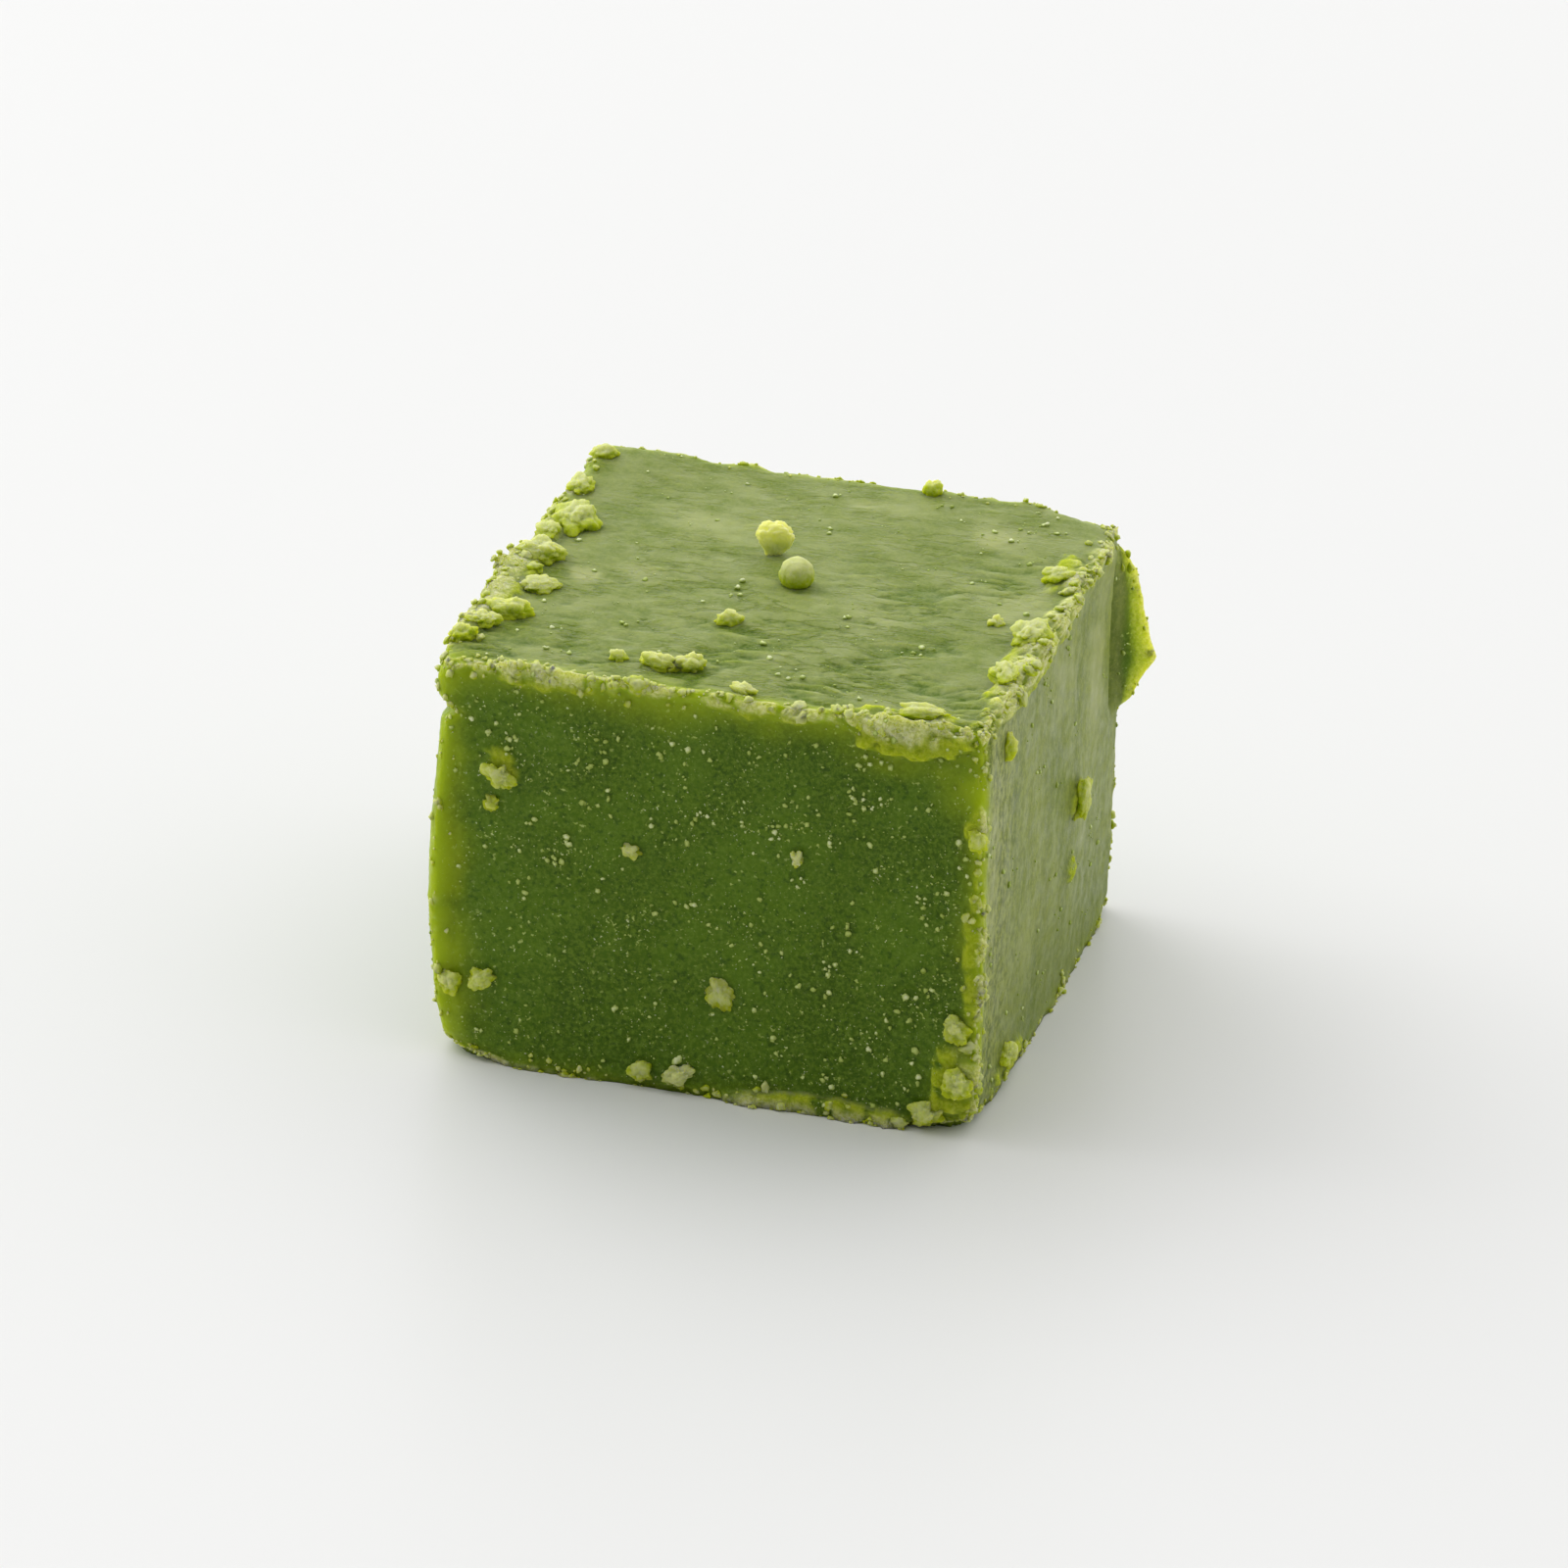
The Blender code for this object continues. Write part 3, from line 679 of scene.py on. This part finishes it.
def lump(shape, middle, size, rng, detail, lumpiness, pale, narrowing=0.0):
    """Adds a soft bit of ganache: a ball swollen and dented unevenly, its skin all small grains."""
    made = bmesh.ops.create_icosphere(shape, subdivisions=detail, radius=1.0)["verts"]
    start = Vector([rng.uniform(0.0, 90.0) for _ in range(3)])
    pale_and_lit_layer = shape.verts.layers.float["pale"]
    turned = middle.to_3x3()
    for vertex in made:
        way = vertex.co.copy()
        swell = sum(high * noise.noise(way * many + start) for many, high in SWELLINGS)
        spot = Vector([value * side / 2 for value, side in zip(way, size)])
        grains = noise.voronoi(spot / CRUMB_GRAIN + start)[0][0]
        dent = min(DEEPEST_DENT, lumpiness * CRUMB_GRAIN_DEPTH / max(size)) * 2.0 * (grains - 0.35)
        girth = 1.0 - narrowing * (1.0 - way.z) / 2
        spot *= 1.0 + lumpiness * swell - dent
        vertex.co = middle @ Vector((spot.x * girth, spot.y * girth, spot.z))
        vertex.co.z = max(CRUMB_CLEARANCE, vertex.co.z)
        # The pale mark: the crumb's own paleness, with painted light where it faces up and painted
        # shade (less pale) in the dents between its grains.
        upward = 0.7 * way.z + 0.3 * (turned @ way).normalized().z
        vertex[pale_and_lit_layer] = max(0.0, 0.40 * pale + 0.65 * upward - 0.5 * dent)


def new_crumb_shape():
    """An empty bmesh whose points say how pale they are."""
    shape = bmesh.new()
    shape.verts.layers.float.new("pale")
    return shape


def large_crumbs():
    """The crumbs that the solid has too. Those that stand free are smoother."""
    for number, (side, across, along, width, length, height, turn, pale) in enumerate(CRUMBS):
        shape = new_crumb_shape()
        rng = random.Random(CRUMB_SEED + number)
        free = number in STANDING_CRUMBS
        sunk, narrowing = STANDING_CRUMBS.get(number, (CRUMB_SUNK_SHARE, 0.0))
        size = Vector((width, length, height / (1.0 - sunk))) * MM
        middle = seated(side_frame(side, across, along, turn), size.z, sunk)
        detail = 5 if max(width, length) > FINE_MESH_WIDTH else 4
        if free:
            kind = "flake" if narrowing else "ball"
        else:
            kind = "scale" if height < SCALE_HEIGHT else "crumb"
        lump(shape, middle, size, rng, detail, LUMPINESS[kind], pale, FOOT_NARROWING * narrowing)
        yield shape


def edge_point(edge, place, off):
    """A point of the plain box beside an edge: this far along it, and off onto one of its sides."""
    first, second = edge["sides"]
    point = Vector((0.0, 0.0, 0.0))
    point[running_axis(edge)] = place
    for side, inward in ((first, max(0.0, off)), (second, max(0.0, -off))):
        point[side[0]] = side[1] * (HALF[side[0]] - inward)
    return point


def pressed_on(edge, place, off, rng):
    """The frame of a crumb on an edge, turned any way. One at the base lies on the upright side."""
    if edge["sides"][1] == BOTTOM:
        off = -abs(off)
    place_on, outward, _ = skin(edge_point(edge, place, off))
    turned = outward.to_track_quat("Z", "Y").to_matrix().to_4x4()
    spin = Matrix.Rotation(rng.uniform(0.0, 2.0 * math.pi), 4, "Z")
    return Matrix.Translation(place_on) @ turned @ spin


def edge_crumbs():
    """Small crumbs sticking along the torn lips, thicker where the lip is higher."""
    rng = random.Random(CRUMB_SEED)
    smallest, largest = EDGE_CRUMB_SIZES
    for number, edge in enumerate(EDGES.values()):
        shape = new_crumb_shape()
        length = 2.0 * HALF[running_axis(edge)]
        for _ in range(int(EDGE_CRUMBS_PER_MM * length / MM * edge["lip"] / USUAL_LIP)):
            place = rng.uniform(-0.5, 0.5) * length
            off = rng.gauss(0.0, EDGE_CRUMB_SPREAD * MM)
            width = smallest + (largest - smallest) * rng.random() ** EDGE_CRUMB_BIAS
            if rng.random() > ragged(place, LIP_SEED_STEP * number):
                continue
            placed = pressed_on(edge, place, off, rng)
            length_share, height_share = rng.uniform(0.6, 1.0), rng.uniform(0.5, 0.8)
            size = Vector((width, width * length_share, width * height_share)) * MM
            middle = seated(placed, size.z)
            lump(shape, middle, size, rng, 2, LUMPINESS["grain"], 0.3 + 0.7 * rng.random())
        yield shape


def edge_scraps():
    """Larger scraps pressed flat onto some of the edges."""
    rng = random.Random(SCRAP_SEED)
    smallest, largest = SCRAP_SIZES
    for name, (crowd, start, end) in EDGE_SCRAPS.items():
        shape = new_crumb_shape()
        for _ in range(int(crowd * (end - start))):
            place = rng.uniform(start, end) * MM
            off = rng.gauss(0.0, SCRAP_SPREAD * MM)
            width = smallest + (largest - smallest) * rng.random() ** SCRAP_BIAS
            placed = pressed_on(EDGES[name], place, off, rng)
            length_share, height_share = rng.uniform(0.6, 0.9), rng.uniform(0.4, 0.6)
            size = Vector((width, width * length_share, width * height_share)) * MM
            middle = seated(placed, size.z, SCRAP_SUNK_SHARE)
            lump(shape, middle, size, rng, 3, LUMPINESS["crumb"], rng.random())
        yield shape


def speck_chance(side, first, second):
    """How likely a speck stays at a place of a side, given in shares of it from -1 to 1."""
    if side == FRONT:
        return 0.25 + 0.75 * eased(-0.6, 0.9, 0.6 * first + 0.5 * second)
    if side == TOP:
        return 0.35 + 0.65 * eased(-0.2, 0.9, abs(first) + 0.3 * abs(second))
    return 0.7


def fine_specks():
    """Powdery specks, far smaller than the crumbs, strewn in little groups over the open sides."""
    rng = random.Random(SPECK_SEED)
    smallest, largest = SPECK_SIZES
    for side, groups in SPECK_GROUPS.items():
        shape = new_crumb_shape()
        axis = side[0]
        for _ in range(groups):
            first, second = rng.uniform(-0.97, 0.97), rng.uniform(-0.97, 0.97)
            keep = rng.random()
            clump = noise.noise(Vector((first * 4.0, second * 4.0, 2.0 * axis + side[1])))
            if keep > speck_chance(side, first, second) * (0.8 + 1.2 * clump):
                continue
            shade = rng.random()
            for _ in range(rng.randint(*SPECKS_IN_GROUP)):
                across = first * HALF[1 if axis == 0 else 0] / MM + rng.gauss(0.0, SPECK_SPREAD)
                along = second * HALF.y / MM if axis == 2 else (second + 1.0) * HALF.z / MM
                along += rng.gauss(0.0, SPECK_SPREAD)
                width = smallest + (largest - smallest) * rng.random() ** SPECK_BIAS
                placed = side_frame(side, across, along, rng.uniform(0.0, 180.0))
                size = Vector((width, width * rng.uniform(0.6, 1.0), width * 0.7)) * MM
                detail = 2 if width > FINE_SPECK_WIDTH else 1
                middle = seated(placed, size.z)
                lump(shape, middle, size, rng, detail, LUMPINESS["grain"], shade)
        yield shape


def bright_specks():
    """The most visible specks of the front, in their clusters."""
    rng = random.Random(BRIGHT_SEED)
    shape = new_crumb_shape()
    for across, up, count, width, shade in BRIGHT_SPECKS:
        spread = BRIGHT_SPREAD if count > 1 else 0.0
        for _ in range(count):
            place, height = rng.gauss(across, spread), rng.gauss(up, spread)
            placed = side_frame(FRONT, place, height, rng.uniform(0.0, 180.0))
            wide = width * rng.uniform(0.7, 1.2)
            size = Vector((wide, wide * rng.uniform(0.6, 1.0), wide * 0.8)) * MM
            lump(shape, seated(placed, size.z), size, rng, 2, LUMPINESS["grain"], shade)
    yield shape


# ---------------------------------------------------------------------------------------------
# Materials.
# ---------------------------------------------------------------------------------------------


def linear(colour):
    """An sRGB hex colour as linear red, green, blue and alpha."""
    shares = [int(colour[start : start + 2], 16) / 255 for start in (1, 3, 5)]
    return [s / 12.92 if s <= 0.04045 else ((s + 0.055) / 1.055) ** 2.4 for s in shares] + [1.0]


def add(tree, kind, inputs=None, **settings):
    """Adds a node with its settings; each input is a value, or the output that links to it."""
    made = tree.nodes.new(kind)
    for name, value in settings.items():
        setattr(made, name, value)
    for name, value in (inputs or {}).items():
        if isinstance(value, bpy.types.NodeSocket):
            tree.links.new(value, made.inputs[name])
        else:
            made.inputs[name].default_value = value
    return made


def new_material(name, **sockets):
    """A material with its Principled shader's sockets set, and its node tree."""
    material = bpy.data.materials.new(name)
    material.use_nodes = True
    shader = material.node_tree.nodes["Principled BSDF"]
    for socket, value in sockets.items():
        shader.inputs[socket.replace("_", " ")].default_value = value
    return material, material.node_tree, shader


def blend(tree, share, first, second):
    """A colour mix, from the first at 0 to the second at 1."""
    inputs = {0: share, 6: first, 7: second}
    return add(tree, "ShaderNodeMix", inputs, data_type="RGBA").outputs[2]


def stepped(tree, value, low, high, to_low=0.0, to_high=1.0):
    """A smooth step of a value between two limits."""
    return add(
        tree,
        "ShaderNodeMapRange",
        {"Value": value, "From Min": low, "From Max": high, "To Min": to_low, "To Max": to_high},
        interpolation_type="SMOOTHSTEP",
    ).outputs["Result"]


def grain(tree, length, stretch=(1.0, 1.0, 1.0), detail=2.0, roughness=0.5):
    """Noise whose waves are this long in metres, stretched along the object's axes."""
    place = add(tree, "ShaderNodeTexCoord").outputs["Object"]
    scale = [1.0 / (length * share) for share in stretch]
    mapped = add(tree, "ShaderNodeMapping", {"Vector": place, "Scale": scale}).outputs["Vector"]
    sockets = {"Vector": mapped, "Scale": 1.0, "Detail": detail, "Roughness": roughness}
    return add(tree, "ShaderNodeTexNoise", sockets).outputs["Fac"]


def object_place(tree, axis):
    """Where a point lies along one axis of the object."""
    place = add(tree, "ShaderNodeTexCoord").outputs["Object"]
    return add(tree, "ShaderNodeSeparateXYZ", {"Vector": place}).outputs[axis]


def side_share(tree, axis):
    """How much the surface faces along one axis, from its own normal."""
    place = add(tree, "ShaderNodeTexCoord").outputs["Normal"]
    parts = add(tree, "ShaderNodeSeparateXYZ", {"Vector": place})
    return stepped(tree, parts.outputs[axis], 0.55, 0.85)


def mark(tree, name):
    """A mark that the shape carries at each of its points."""
    return add(tree, "ShaderNodeAttribute", attribute_name=name).outputs["Fac"]


def times(tree, first, second):
    """A product."""
    return add(tree, "ShaderNodeMath", {0: first, 1: second}, operation="MULTIPLY").outputs[0]


def add_up(tree, first, second, how="ADD"):
    """A sum or a difference, kept between 0 and 1."""
    sockets = {0: first, 1: second}
    return add(tree, "ShaderNodeMath", sockets, operation=how, use_clamp=True).outputs[0]


def off_middle(tree, value):
    """How far a noise value lies from its middle, so that 0 runs in lines."""
    shifted = add(tree, "ShaderNodeMath", {0: value, 1: 0.5}, operation="SUBTRACT").outputs[0]
    return add(tree, "ShaderNodeMath", {0: shifted}, operation="ABSOLUTE").outputs[0]


def bumped(tree, shader, height, distance, strength=1.0, before=None):
    """Lets the light see a relief that is too fine for the mesh."""
    inputs = {"Height": height, "Strength": strength, "Distance": distance}
    if before is not None:
        inputs["Normal"] = before
    made = add(tree, "ShaderNodeBump", inputs).outputs["Normal"]
    tree.links.new(made, shader.inputs["Normal"])
    return made


def fresh_cut(tree, low):
    """The fresh cut: deep green, mottled, darker towards the bottom, with fine grains of tea and of
    milk powder in it, painted shade in tiny pits, and the brightest milk grains painted as glints.
    """
    mottle = stepped(tree, grain(tree, 3.5 * MM, detail=3.0), 0.35, 0.65)
    colour = blend(tree, mottle, linear("#4c690a"), linear("#5b7c12"))
    colour = blend(tree, low, colour, linear("#3d5a06"))
    dust = stepped(tree, grain(tree, 0.17 * MM, detail=3.0, roughness=0.7), 0.40, 0.68)
    colour = blend(tree, dust, colour, linear("#6f8d28"))
    # Painted shade: dark dots where tiny pits would hold shade.
    pit_shade = stepped(tree, grain(tree, 0.26 * MM, detail=3.0, roughness=0.6), 0.32, 0.46, 0.6, 0.0)
    colour = blend(tree, pit_shade, colour, linear("#365208"))
    milk = stepped(tree, grain(tree, 0.20 * MM, detail=2.0), 0.64, 0.72)
    crowded = stepped(tree, grain(tree, 2.2 * MM, detail=2.0), 0.38, 0.60, 0.25, 1.0)
    colour = blend(tree, times(tree, milk, crowded), colour, linear("#b4c468"))
    # Painted glints: the brightest whitish points of milk powder.
    milk_glints = stepped(tree, grain(tree, 0.13 * MM, detail=1.0), 0.70, 0.76)
    return blend(tree, times(tree, milk_glints, crowded), colour, linear("#dde4a8"))


def fine_creases(tree):
    """Fine creases of the top, which run across it and are deeper at the front."""
    folded = grain(tree, 0.85 * MM, (2.6, 1.0, 1.0), 3.0, 0.6)
    ridge = stepped(tree, off_middle(tree, folded), 0.0, 0.07)
    where = stepped(tree, grain(tree, 2.6 * MM, detail=1.0), 0.36, 0.62)
    forward = stepped(tree, object_place(tree, "Y"), -4.0 * MM, 7.0 * MM, 1.0, 0.50)
    return times(tree, add_up(tree, 1.0, ridge, "SUBTRACT"), times(tree, where, forward))


def dried_top_sheen_and_shade(tree, relief, creases):
    """The top: dried skin, paler and greyer partly as painted sheen, and painted shade in its
    creases.
    """
    film_and_sheen = stepped(tree, grain(tree, 1.2 * MM, (1.5, 1.0, 1.0), 5.0, 0.65), 0.30, 0.70)
    colour = blend(tree, film_and_sheen, linear("#6b7e28"), linear("#909b5c"))
    # Painted shade down in the valleys of the wrinkles and in the fine creases.
    colour = blend(tree, stepped(tree, relief, -0.75, -0.15), linear("#55700f"), colour)
    colour = blend(tree, times(tree, creases, 0.55), colour, linear("#5d7416"))
    tea = stepped(tree, grain(tree, 0.15 * MM, detail=3.0, roughness=0.7), 0.35, 0.68)
    return blend(tree, times(tree, tea, 0.35), colour, linear("#9ca660"))


def dragged_side(tree, relief, low):
    """The right side: whitish drag marks, painted paler on ridges and darker in grooves, a coarse
    grain beside its front edge, and darker towards the bottom.
    """
    # Painted light and shade of the drag relief: paler on its ridges, darker in its grooves, and
    # darkest in the deepest grooves and the crease beside the fin.
    drag_light_and_shade = stepped(tree, relief, -0.60, 0.60)
    colour = blend(tree, drag_light_and_shade, linear("#6c7e2c"), linear("#8f9b47"))
    colour = blend(tree, stepped(tree, relief, -1.2, -0.4), linear("#56661a"), colour)
    coarse = stepped(tree, grain(tree, 0.30 * MM, (1.0, 1.0, 1.3), 5.0, 0.7), 0.36, 0.64)
    coarse_grain = blend(tree, coarse, linear("#50601a"), linear("#a2aa5a"))
    near_front = stepped(tree, object_place(tree, "Y"), -10.4 * MM, -4.0 * MM, 0.95, 0.25)
    colour = blend(tree, near_front, colour, coarse_grain)
    powder = stepped(tree, grain(tree, 0.14 * MM, detail=2.0, roughness=0.6), 0.50, 0.75)
    colour = blend(tree, times(tree, powder, 0.4), colour, linear("#a9b054"))
    return blend(tree, times(tree, low, 0.8), colour, linear("#566a16"))


def crumbly_paste(tree, torn):
    """Crumbly paste: pale crests, partly dry and partly painted light; lime below, painted glow."""
    shaded = blend(tree, torn, linear("#9bad16"), linear("#b4c136"))
    lit = blend(tree, torn, linear("#bdc668"), linear("#e0e3aa"))
    return blend(tree, mark(tree, "crest"), shaded, lit)


def ganache_material():
    """White chocolate ganache with green tea: waxy and translucent, so that its edges glow lime, a
    glow also painted into its colour.
    """
    material, tree, shader = new_material(
        "green_tea_ganache",
        IOR=1.36,
        Specular_IOR_Level=0.22,
        Subsurface_Weight=0.85,
        Subsurface_Radius=(1.0, 1.05, 0.12),
        Subsurface_Scale=1.3 * MM,
    )
    shader.subsurface_method = "RANDOM_WALK"
    up = side_share(tree, "Z")
    relief = mark(tree, "relief")
    low = stepped(tree, object_place(tree, "Z"), 0.0, 6.0 * MM, 0.35, 0.0)
    creases = fine_creases(tree)
    torn = stepped(tree, grain(tree, 0.16 * MM, detail=4.0, roughness=0.65), 0.34, 0.66)
    cover = stepped(tree, mark(tree, "paste"), 0.10, 0.90)
    # Each side in its own colour, the top's with painted sheen and painted shade in its creases,
    # then the smudges, the painted glow of the rims, and the paste over them, lit and shaded in
    # paint.
    colour = blend(tree, up, fresh_cut(tree, low), dried_top_sheen_and_shade(tree, relief, creases))
    colour = blend(tree, side_share(tree, "X"), colour, dragged_side(tree, relief, low))
    colour = blend(tree, times(tree, mark(tree, "smudge"), 0.7), colour, linear("#b4ba7c"))
    # Painted glow: lime where light shines through the thin rims.
    colour = blend(tree, mark(tree, "glow"), colour, linear("#a9bd12"))
    colour = blend(tree, cover, colour, crumbly_paste(tree, torn))
    tree.links.new(colour, shader.inputs["Base Color"])
    # Waxy where it is bare, and duller under the paste.
    smooth = stepped(tree, grain(tree, 0.7 * MM, detail=5.0), 0.25, 0.75, 0.32, 0.56)
    rough = add_up(tree, smooth, times(tree, cover, 0.30))
    tree.links.new(rough, shader.inputs["Roughness"])
    # Its finest grain, the creases of the top, and the torn grains of the paste.
    pores = grain(tree, 0.12 * MM, detail=3.0, roughness=0.6)
    relieved = bumped(tree, shader, pores, 0.020 * MM, 0.6)
    on_top = times(tree, add_up(tree, 1.0, creases, "SUBTRACT"), up)
    relieved = bumped(tree, shader, on_top, 0.10 * MM, 1.0, relieved)
    bumped(tree, shader, times(tree, torn, cover), 0.05 * MM, 0.8, relieved)
    return material


def crumb_material(name, light_reach):
    """Broken crumbs of the same ganache: dried, pale on top partly as painted light, lime where
    light comes through.
    """
    material, tree, shader = new_material(
        name,
        IOR=1.36,
        Specular_IOR_Level=0.35,
        Roughness=0.6,
        Subsurface_Weight=0.9,
        Subsurface_Radius=(1.0, 1.0, 0.15),
        Subsurface_Scale=light_reach,
    )
    shader.subsurface_method = "RANDOM_WALK"
    pale_and_lit = mark(tree, "pale")
    pale = stepped(tree, pale_and_lit, 0.10, 0.90)
    flecks = grain(tree, 0.22 * MM, detail=4.0, roughness=0.65)
    worn = stepped(tree, flecks, 0.30, 0.70, -0.25, 0.25)
    # Paler where the mark is high: its own paleness, and painted light where it faces up.
    colour = blend(tree, add_up(tree, pale, worn), linear("#acbc10"), linear("#c8ce90"))
    colour = blend(tree, stepped(tree, pale_and_lit, 1.00, 1.50), colour, linear("#f2f49a"))
    tree.links.new(colour, shader.inputs["Base Color"])
    bumped(tree, shader, grain(tree, 0.11 * MM, detail=4.0, roughness=0.6), 0.035 * MM, 0.8)
    return material


def speck_material():
    """Milk powder and tea dust: whitish to yellow green, dull grains."""
    material, tree, shader = new_material(
        "milk_and_tea_powder", IOR=1.45, Specular_IOR_Level=0.15, Roughness=0.6
    )
    pale = mark(tree, "pale")
    # Whiter where the pale mark is high: the grain's own paleness, with painted light where it
    # faces up.
    green = blend(tree, stepped(tree, pale, 0.0, 0.70), linear("#8aa032"), linear("#c0d074"))
    colour = blend(tree, stepped(tree, pale, 0.55, 0.90), green, linear("#e8efc0"))
    tree.links.new(colour, shader.inputs["Base Color"])
    return material


def table_material():
    """A smooth white laminate table, just glossy enough for a faint blurred reflection."""
    material, _, _ = new_material(
        "white_table_laminate",
        Base_Color=linear("#e8e8e7"),
        Roughness=0.38,
        Specular_IOR_Level=0.30,
    )
    return material


# ---------------------------------------------------------------------------------------------
# Pieces.
# ---------------------------------------------------------------------------------------------


def finished(name, shapes, material):
    """An object holding a few bmeshes as one mesh, shaded smooth, with its material."""
    mesh = bpy.data.meshes.new(name)
    whole = bmesh.new()
    for shape in shapes:
        bmesh.ops.recalc_face_normals(shape, faces=shape.faces[:])
        shape.to_mesh(mesh)
        shape.free()
        whole.from_mesh(mesh)
    whole.to_mesh(mesh)
    whole.free()
    mesh.shade_smooth()
    mesh.materials.append(material)
    made = bpy.data.objects.new(name, mesh)
    bpy.context.scene.collection.objects.link(made)
    return made


def block_shape():
    """The block's skin: a cube's fine grid laid on the cut surface."""
    shape = bmesh.new()
    bmesh.ops.create_cube(shape, size=2.0)
    bmesh.ops.subdivide_edges(shape, edges=shape.edges[:], cuts=CELLS - 1, use_grid_fill=True)
    for name in MARKS:
        shape.verts.layers.float.new(name)
    layers = [shape.verts.layers.float[name] for name in MARKS]
    for vertex in shape.verts:
        crowded = [q + CROWDING * q * (1.0 - q * q) for q in vertex.co]
        point = Vector([q * half for q, half in zip(crowded, HALF)])
        vertex.co, _, marks = skin(point)
        for layer, value in zip(layers, marks):
            vertex[layer] = value
    return shape


def dressed(piece, *replaced):
    """Hangs a piece of the chocolate on the root body, and hides the solid that it stands for."""
    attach(piece, "root")
    if replaced:
        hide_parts(*replaced)


dressed(finished("ganache_block", [block_shape()], ganache_material()), "ganache_piece")
coarse = crumb_material("dry_ganache_crumbs", 0.80 * MM)
fine = crumb_material("fine_ganache_crumbs", 0.22 * MM)
dressed(finished("large_crumbs", large_crumbs(), coarse))
dressed(finished("edge_scraps", edge_scraps(), fine))
dressed(finished("edge_crumbs", edge_crumbs(), fine))
dressed(finished("fine_specks", [*fine_specks(), *bright_specks()], speck_material()))

# ---------------------------------------------------------------------------------------------
# The table, the light and the camera.
# ---------------------------------------------------------------------------------------------

TABLE_HALF = 3.0
AIM = MIDDLE
CAMERA_AZIMUTH = math.radians(14.94)
CAMERA_ELEVATION = math.radians(24.8)
CAMERA_ROLL = math.radians(1.73)
CAMERA_DISTANCE = 0.4074
LENS = 235.0
SENSOR_WIDTH = 36.0

# The key is a large soft window behind and to the left.
KEY_FROM = Vector((-0.80, 0.30, 0.50))
KEY_SIZE = 1.10
KEY_POWER = 5.6

# The walls are brightest towards this way, and their light fades between two cosines from it.
WORLD_BRIGHT_WAY = Vector((-0.10, 0.72, 0.70))
WORLD_TURN = (-0.55, 0.65)
WORLD_BRIGHT = 1.12
WORLD_DIM = 0.08
WORLD_SEEN = "#f6f6f5"


def table():
    """The flat table top that the piece lies on."""
    shape = bmesh.new()
    bmesh.ops.create_grid(shape, x_segments=1, y_segments=1, size=TABLE_HALF)
    laid = finished("table", [shape], table_material())


def studio_walls():
    """Pale walls: bright behind and above the table, dim on the camera's side."""
    world = bpy.data.worlds.new("studio_walls")
    world.use_nodes = True
    tree = world.node_tree
    tree.nodes.clear()
    way = add(tree, "ShaderNodeTexCoord").outputs["Generated"]
    bright_way = WORLD_BRIGHT_WAY.normalized()
    towards = add(tree, "ShaderNodeVectorMath", {0: way, 1: bright_way}, operation="DOT_PRODUCT")
    strength = stepped(tree, towards.outputs["Value"], *WORLD_TURN, WORLD_DIM, WORLD_BRIGHT)
    lit = add(tree, "ShaderNodeBackground", {"Color": linear("#ffffff"), "Strength": strength})
    seen = add(tree, "ShaderNodeBackground", {"Color": linear(WORLD_SEEN), "Strength": 1.0})
    camera_sees = add(tree, "ShaderNodeLightPath").outputs["Is Camera Ray"]
    parts = {0: camera_sees, 1: lit.outputs[0], 2: seen.outputs[0]}
    mixed = add(tree, "ShaderNodeMixShader", parts)
    add(tree, "ShaderNodeOutputWorld", {"Surface": mixed.outputs[0]})
    bpy.context.scene.world = world


def window():
    """The key light: one large soft window."""
    lamp = bpy.data.lights.new("window", "AREA")
    lamp.shape = "SQUARE"
    lamp.size = KEY_SIZE
    lamp.energy = KEY_POWER
    hung = bpy.data.objects.new("window", lamp)
    hung.location = KEY_FROM
    hung.rotation_euler = (AIM - KEY_FROM).to_track_quat("-Z", "Y").to_euler()
    bpy.context.scene.collection.objects.link(hung)


def camera():
    """The camera: in front, a little to the right, above and slightly rolled."""
    lens = bpy.data.cameras.new("camera")
    lens.lens = LENS
    lens.sensor_width = SENSOR_WIDTH
    lens.clip_start = 0.01
    lens.clip_end = 20.0
    level = math.cos(CAMERA_ELEVATION)
    across, away = math.sin(CAMERA_AZIMUTH) * level, -math.cos(CAMERA_AZIMUTH) * level
    back = Vector((across, away, math.sin(CAMERA_ELEVATION)))
    held = bpy.data.objects.new("camera", lens)
    held.location = AIM + back * CAMERA_DISTANCE
    held.rotation_mode = "QUATERNION"
    rolled = Quaternion((0.0, 0.0, 1.0), CAMERA_ROLL)
    held.rotation_quaternion = (-back).to_track_quat("-Z", "Y") @ rolled
    bpy.context.scene.collection.objects.link(held)
    bpy.context.scene.camera = held


table()
studio_walls()
window()
camera()
bpy.context.scene.view_settings.view_transform = "Standard"
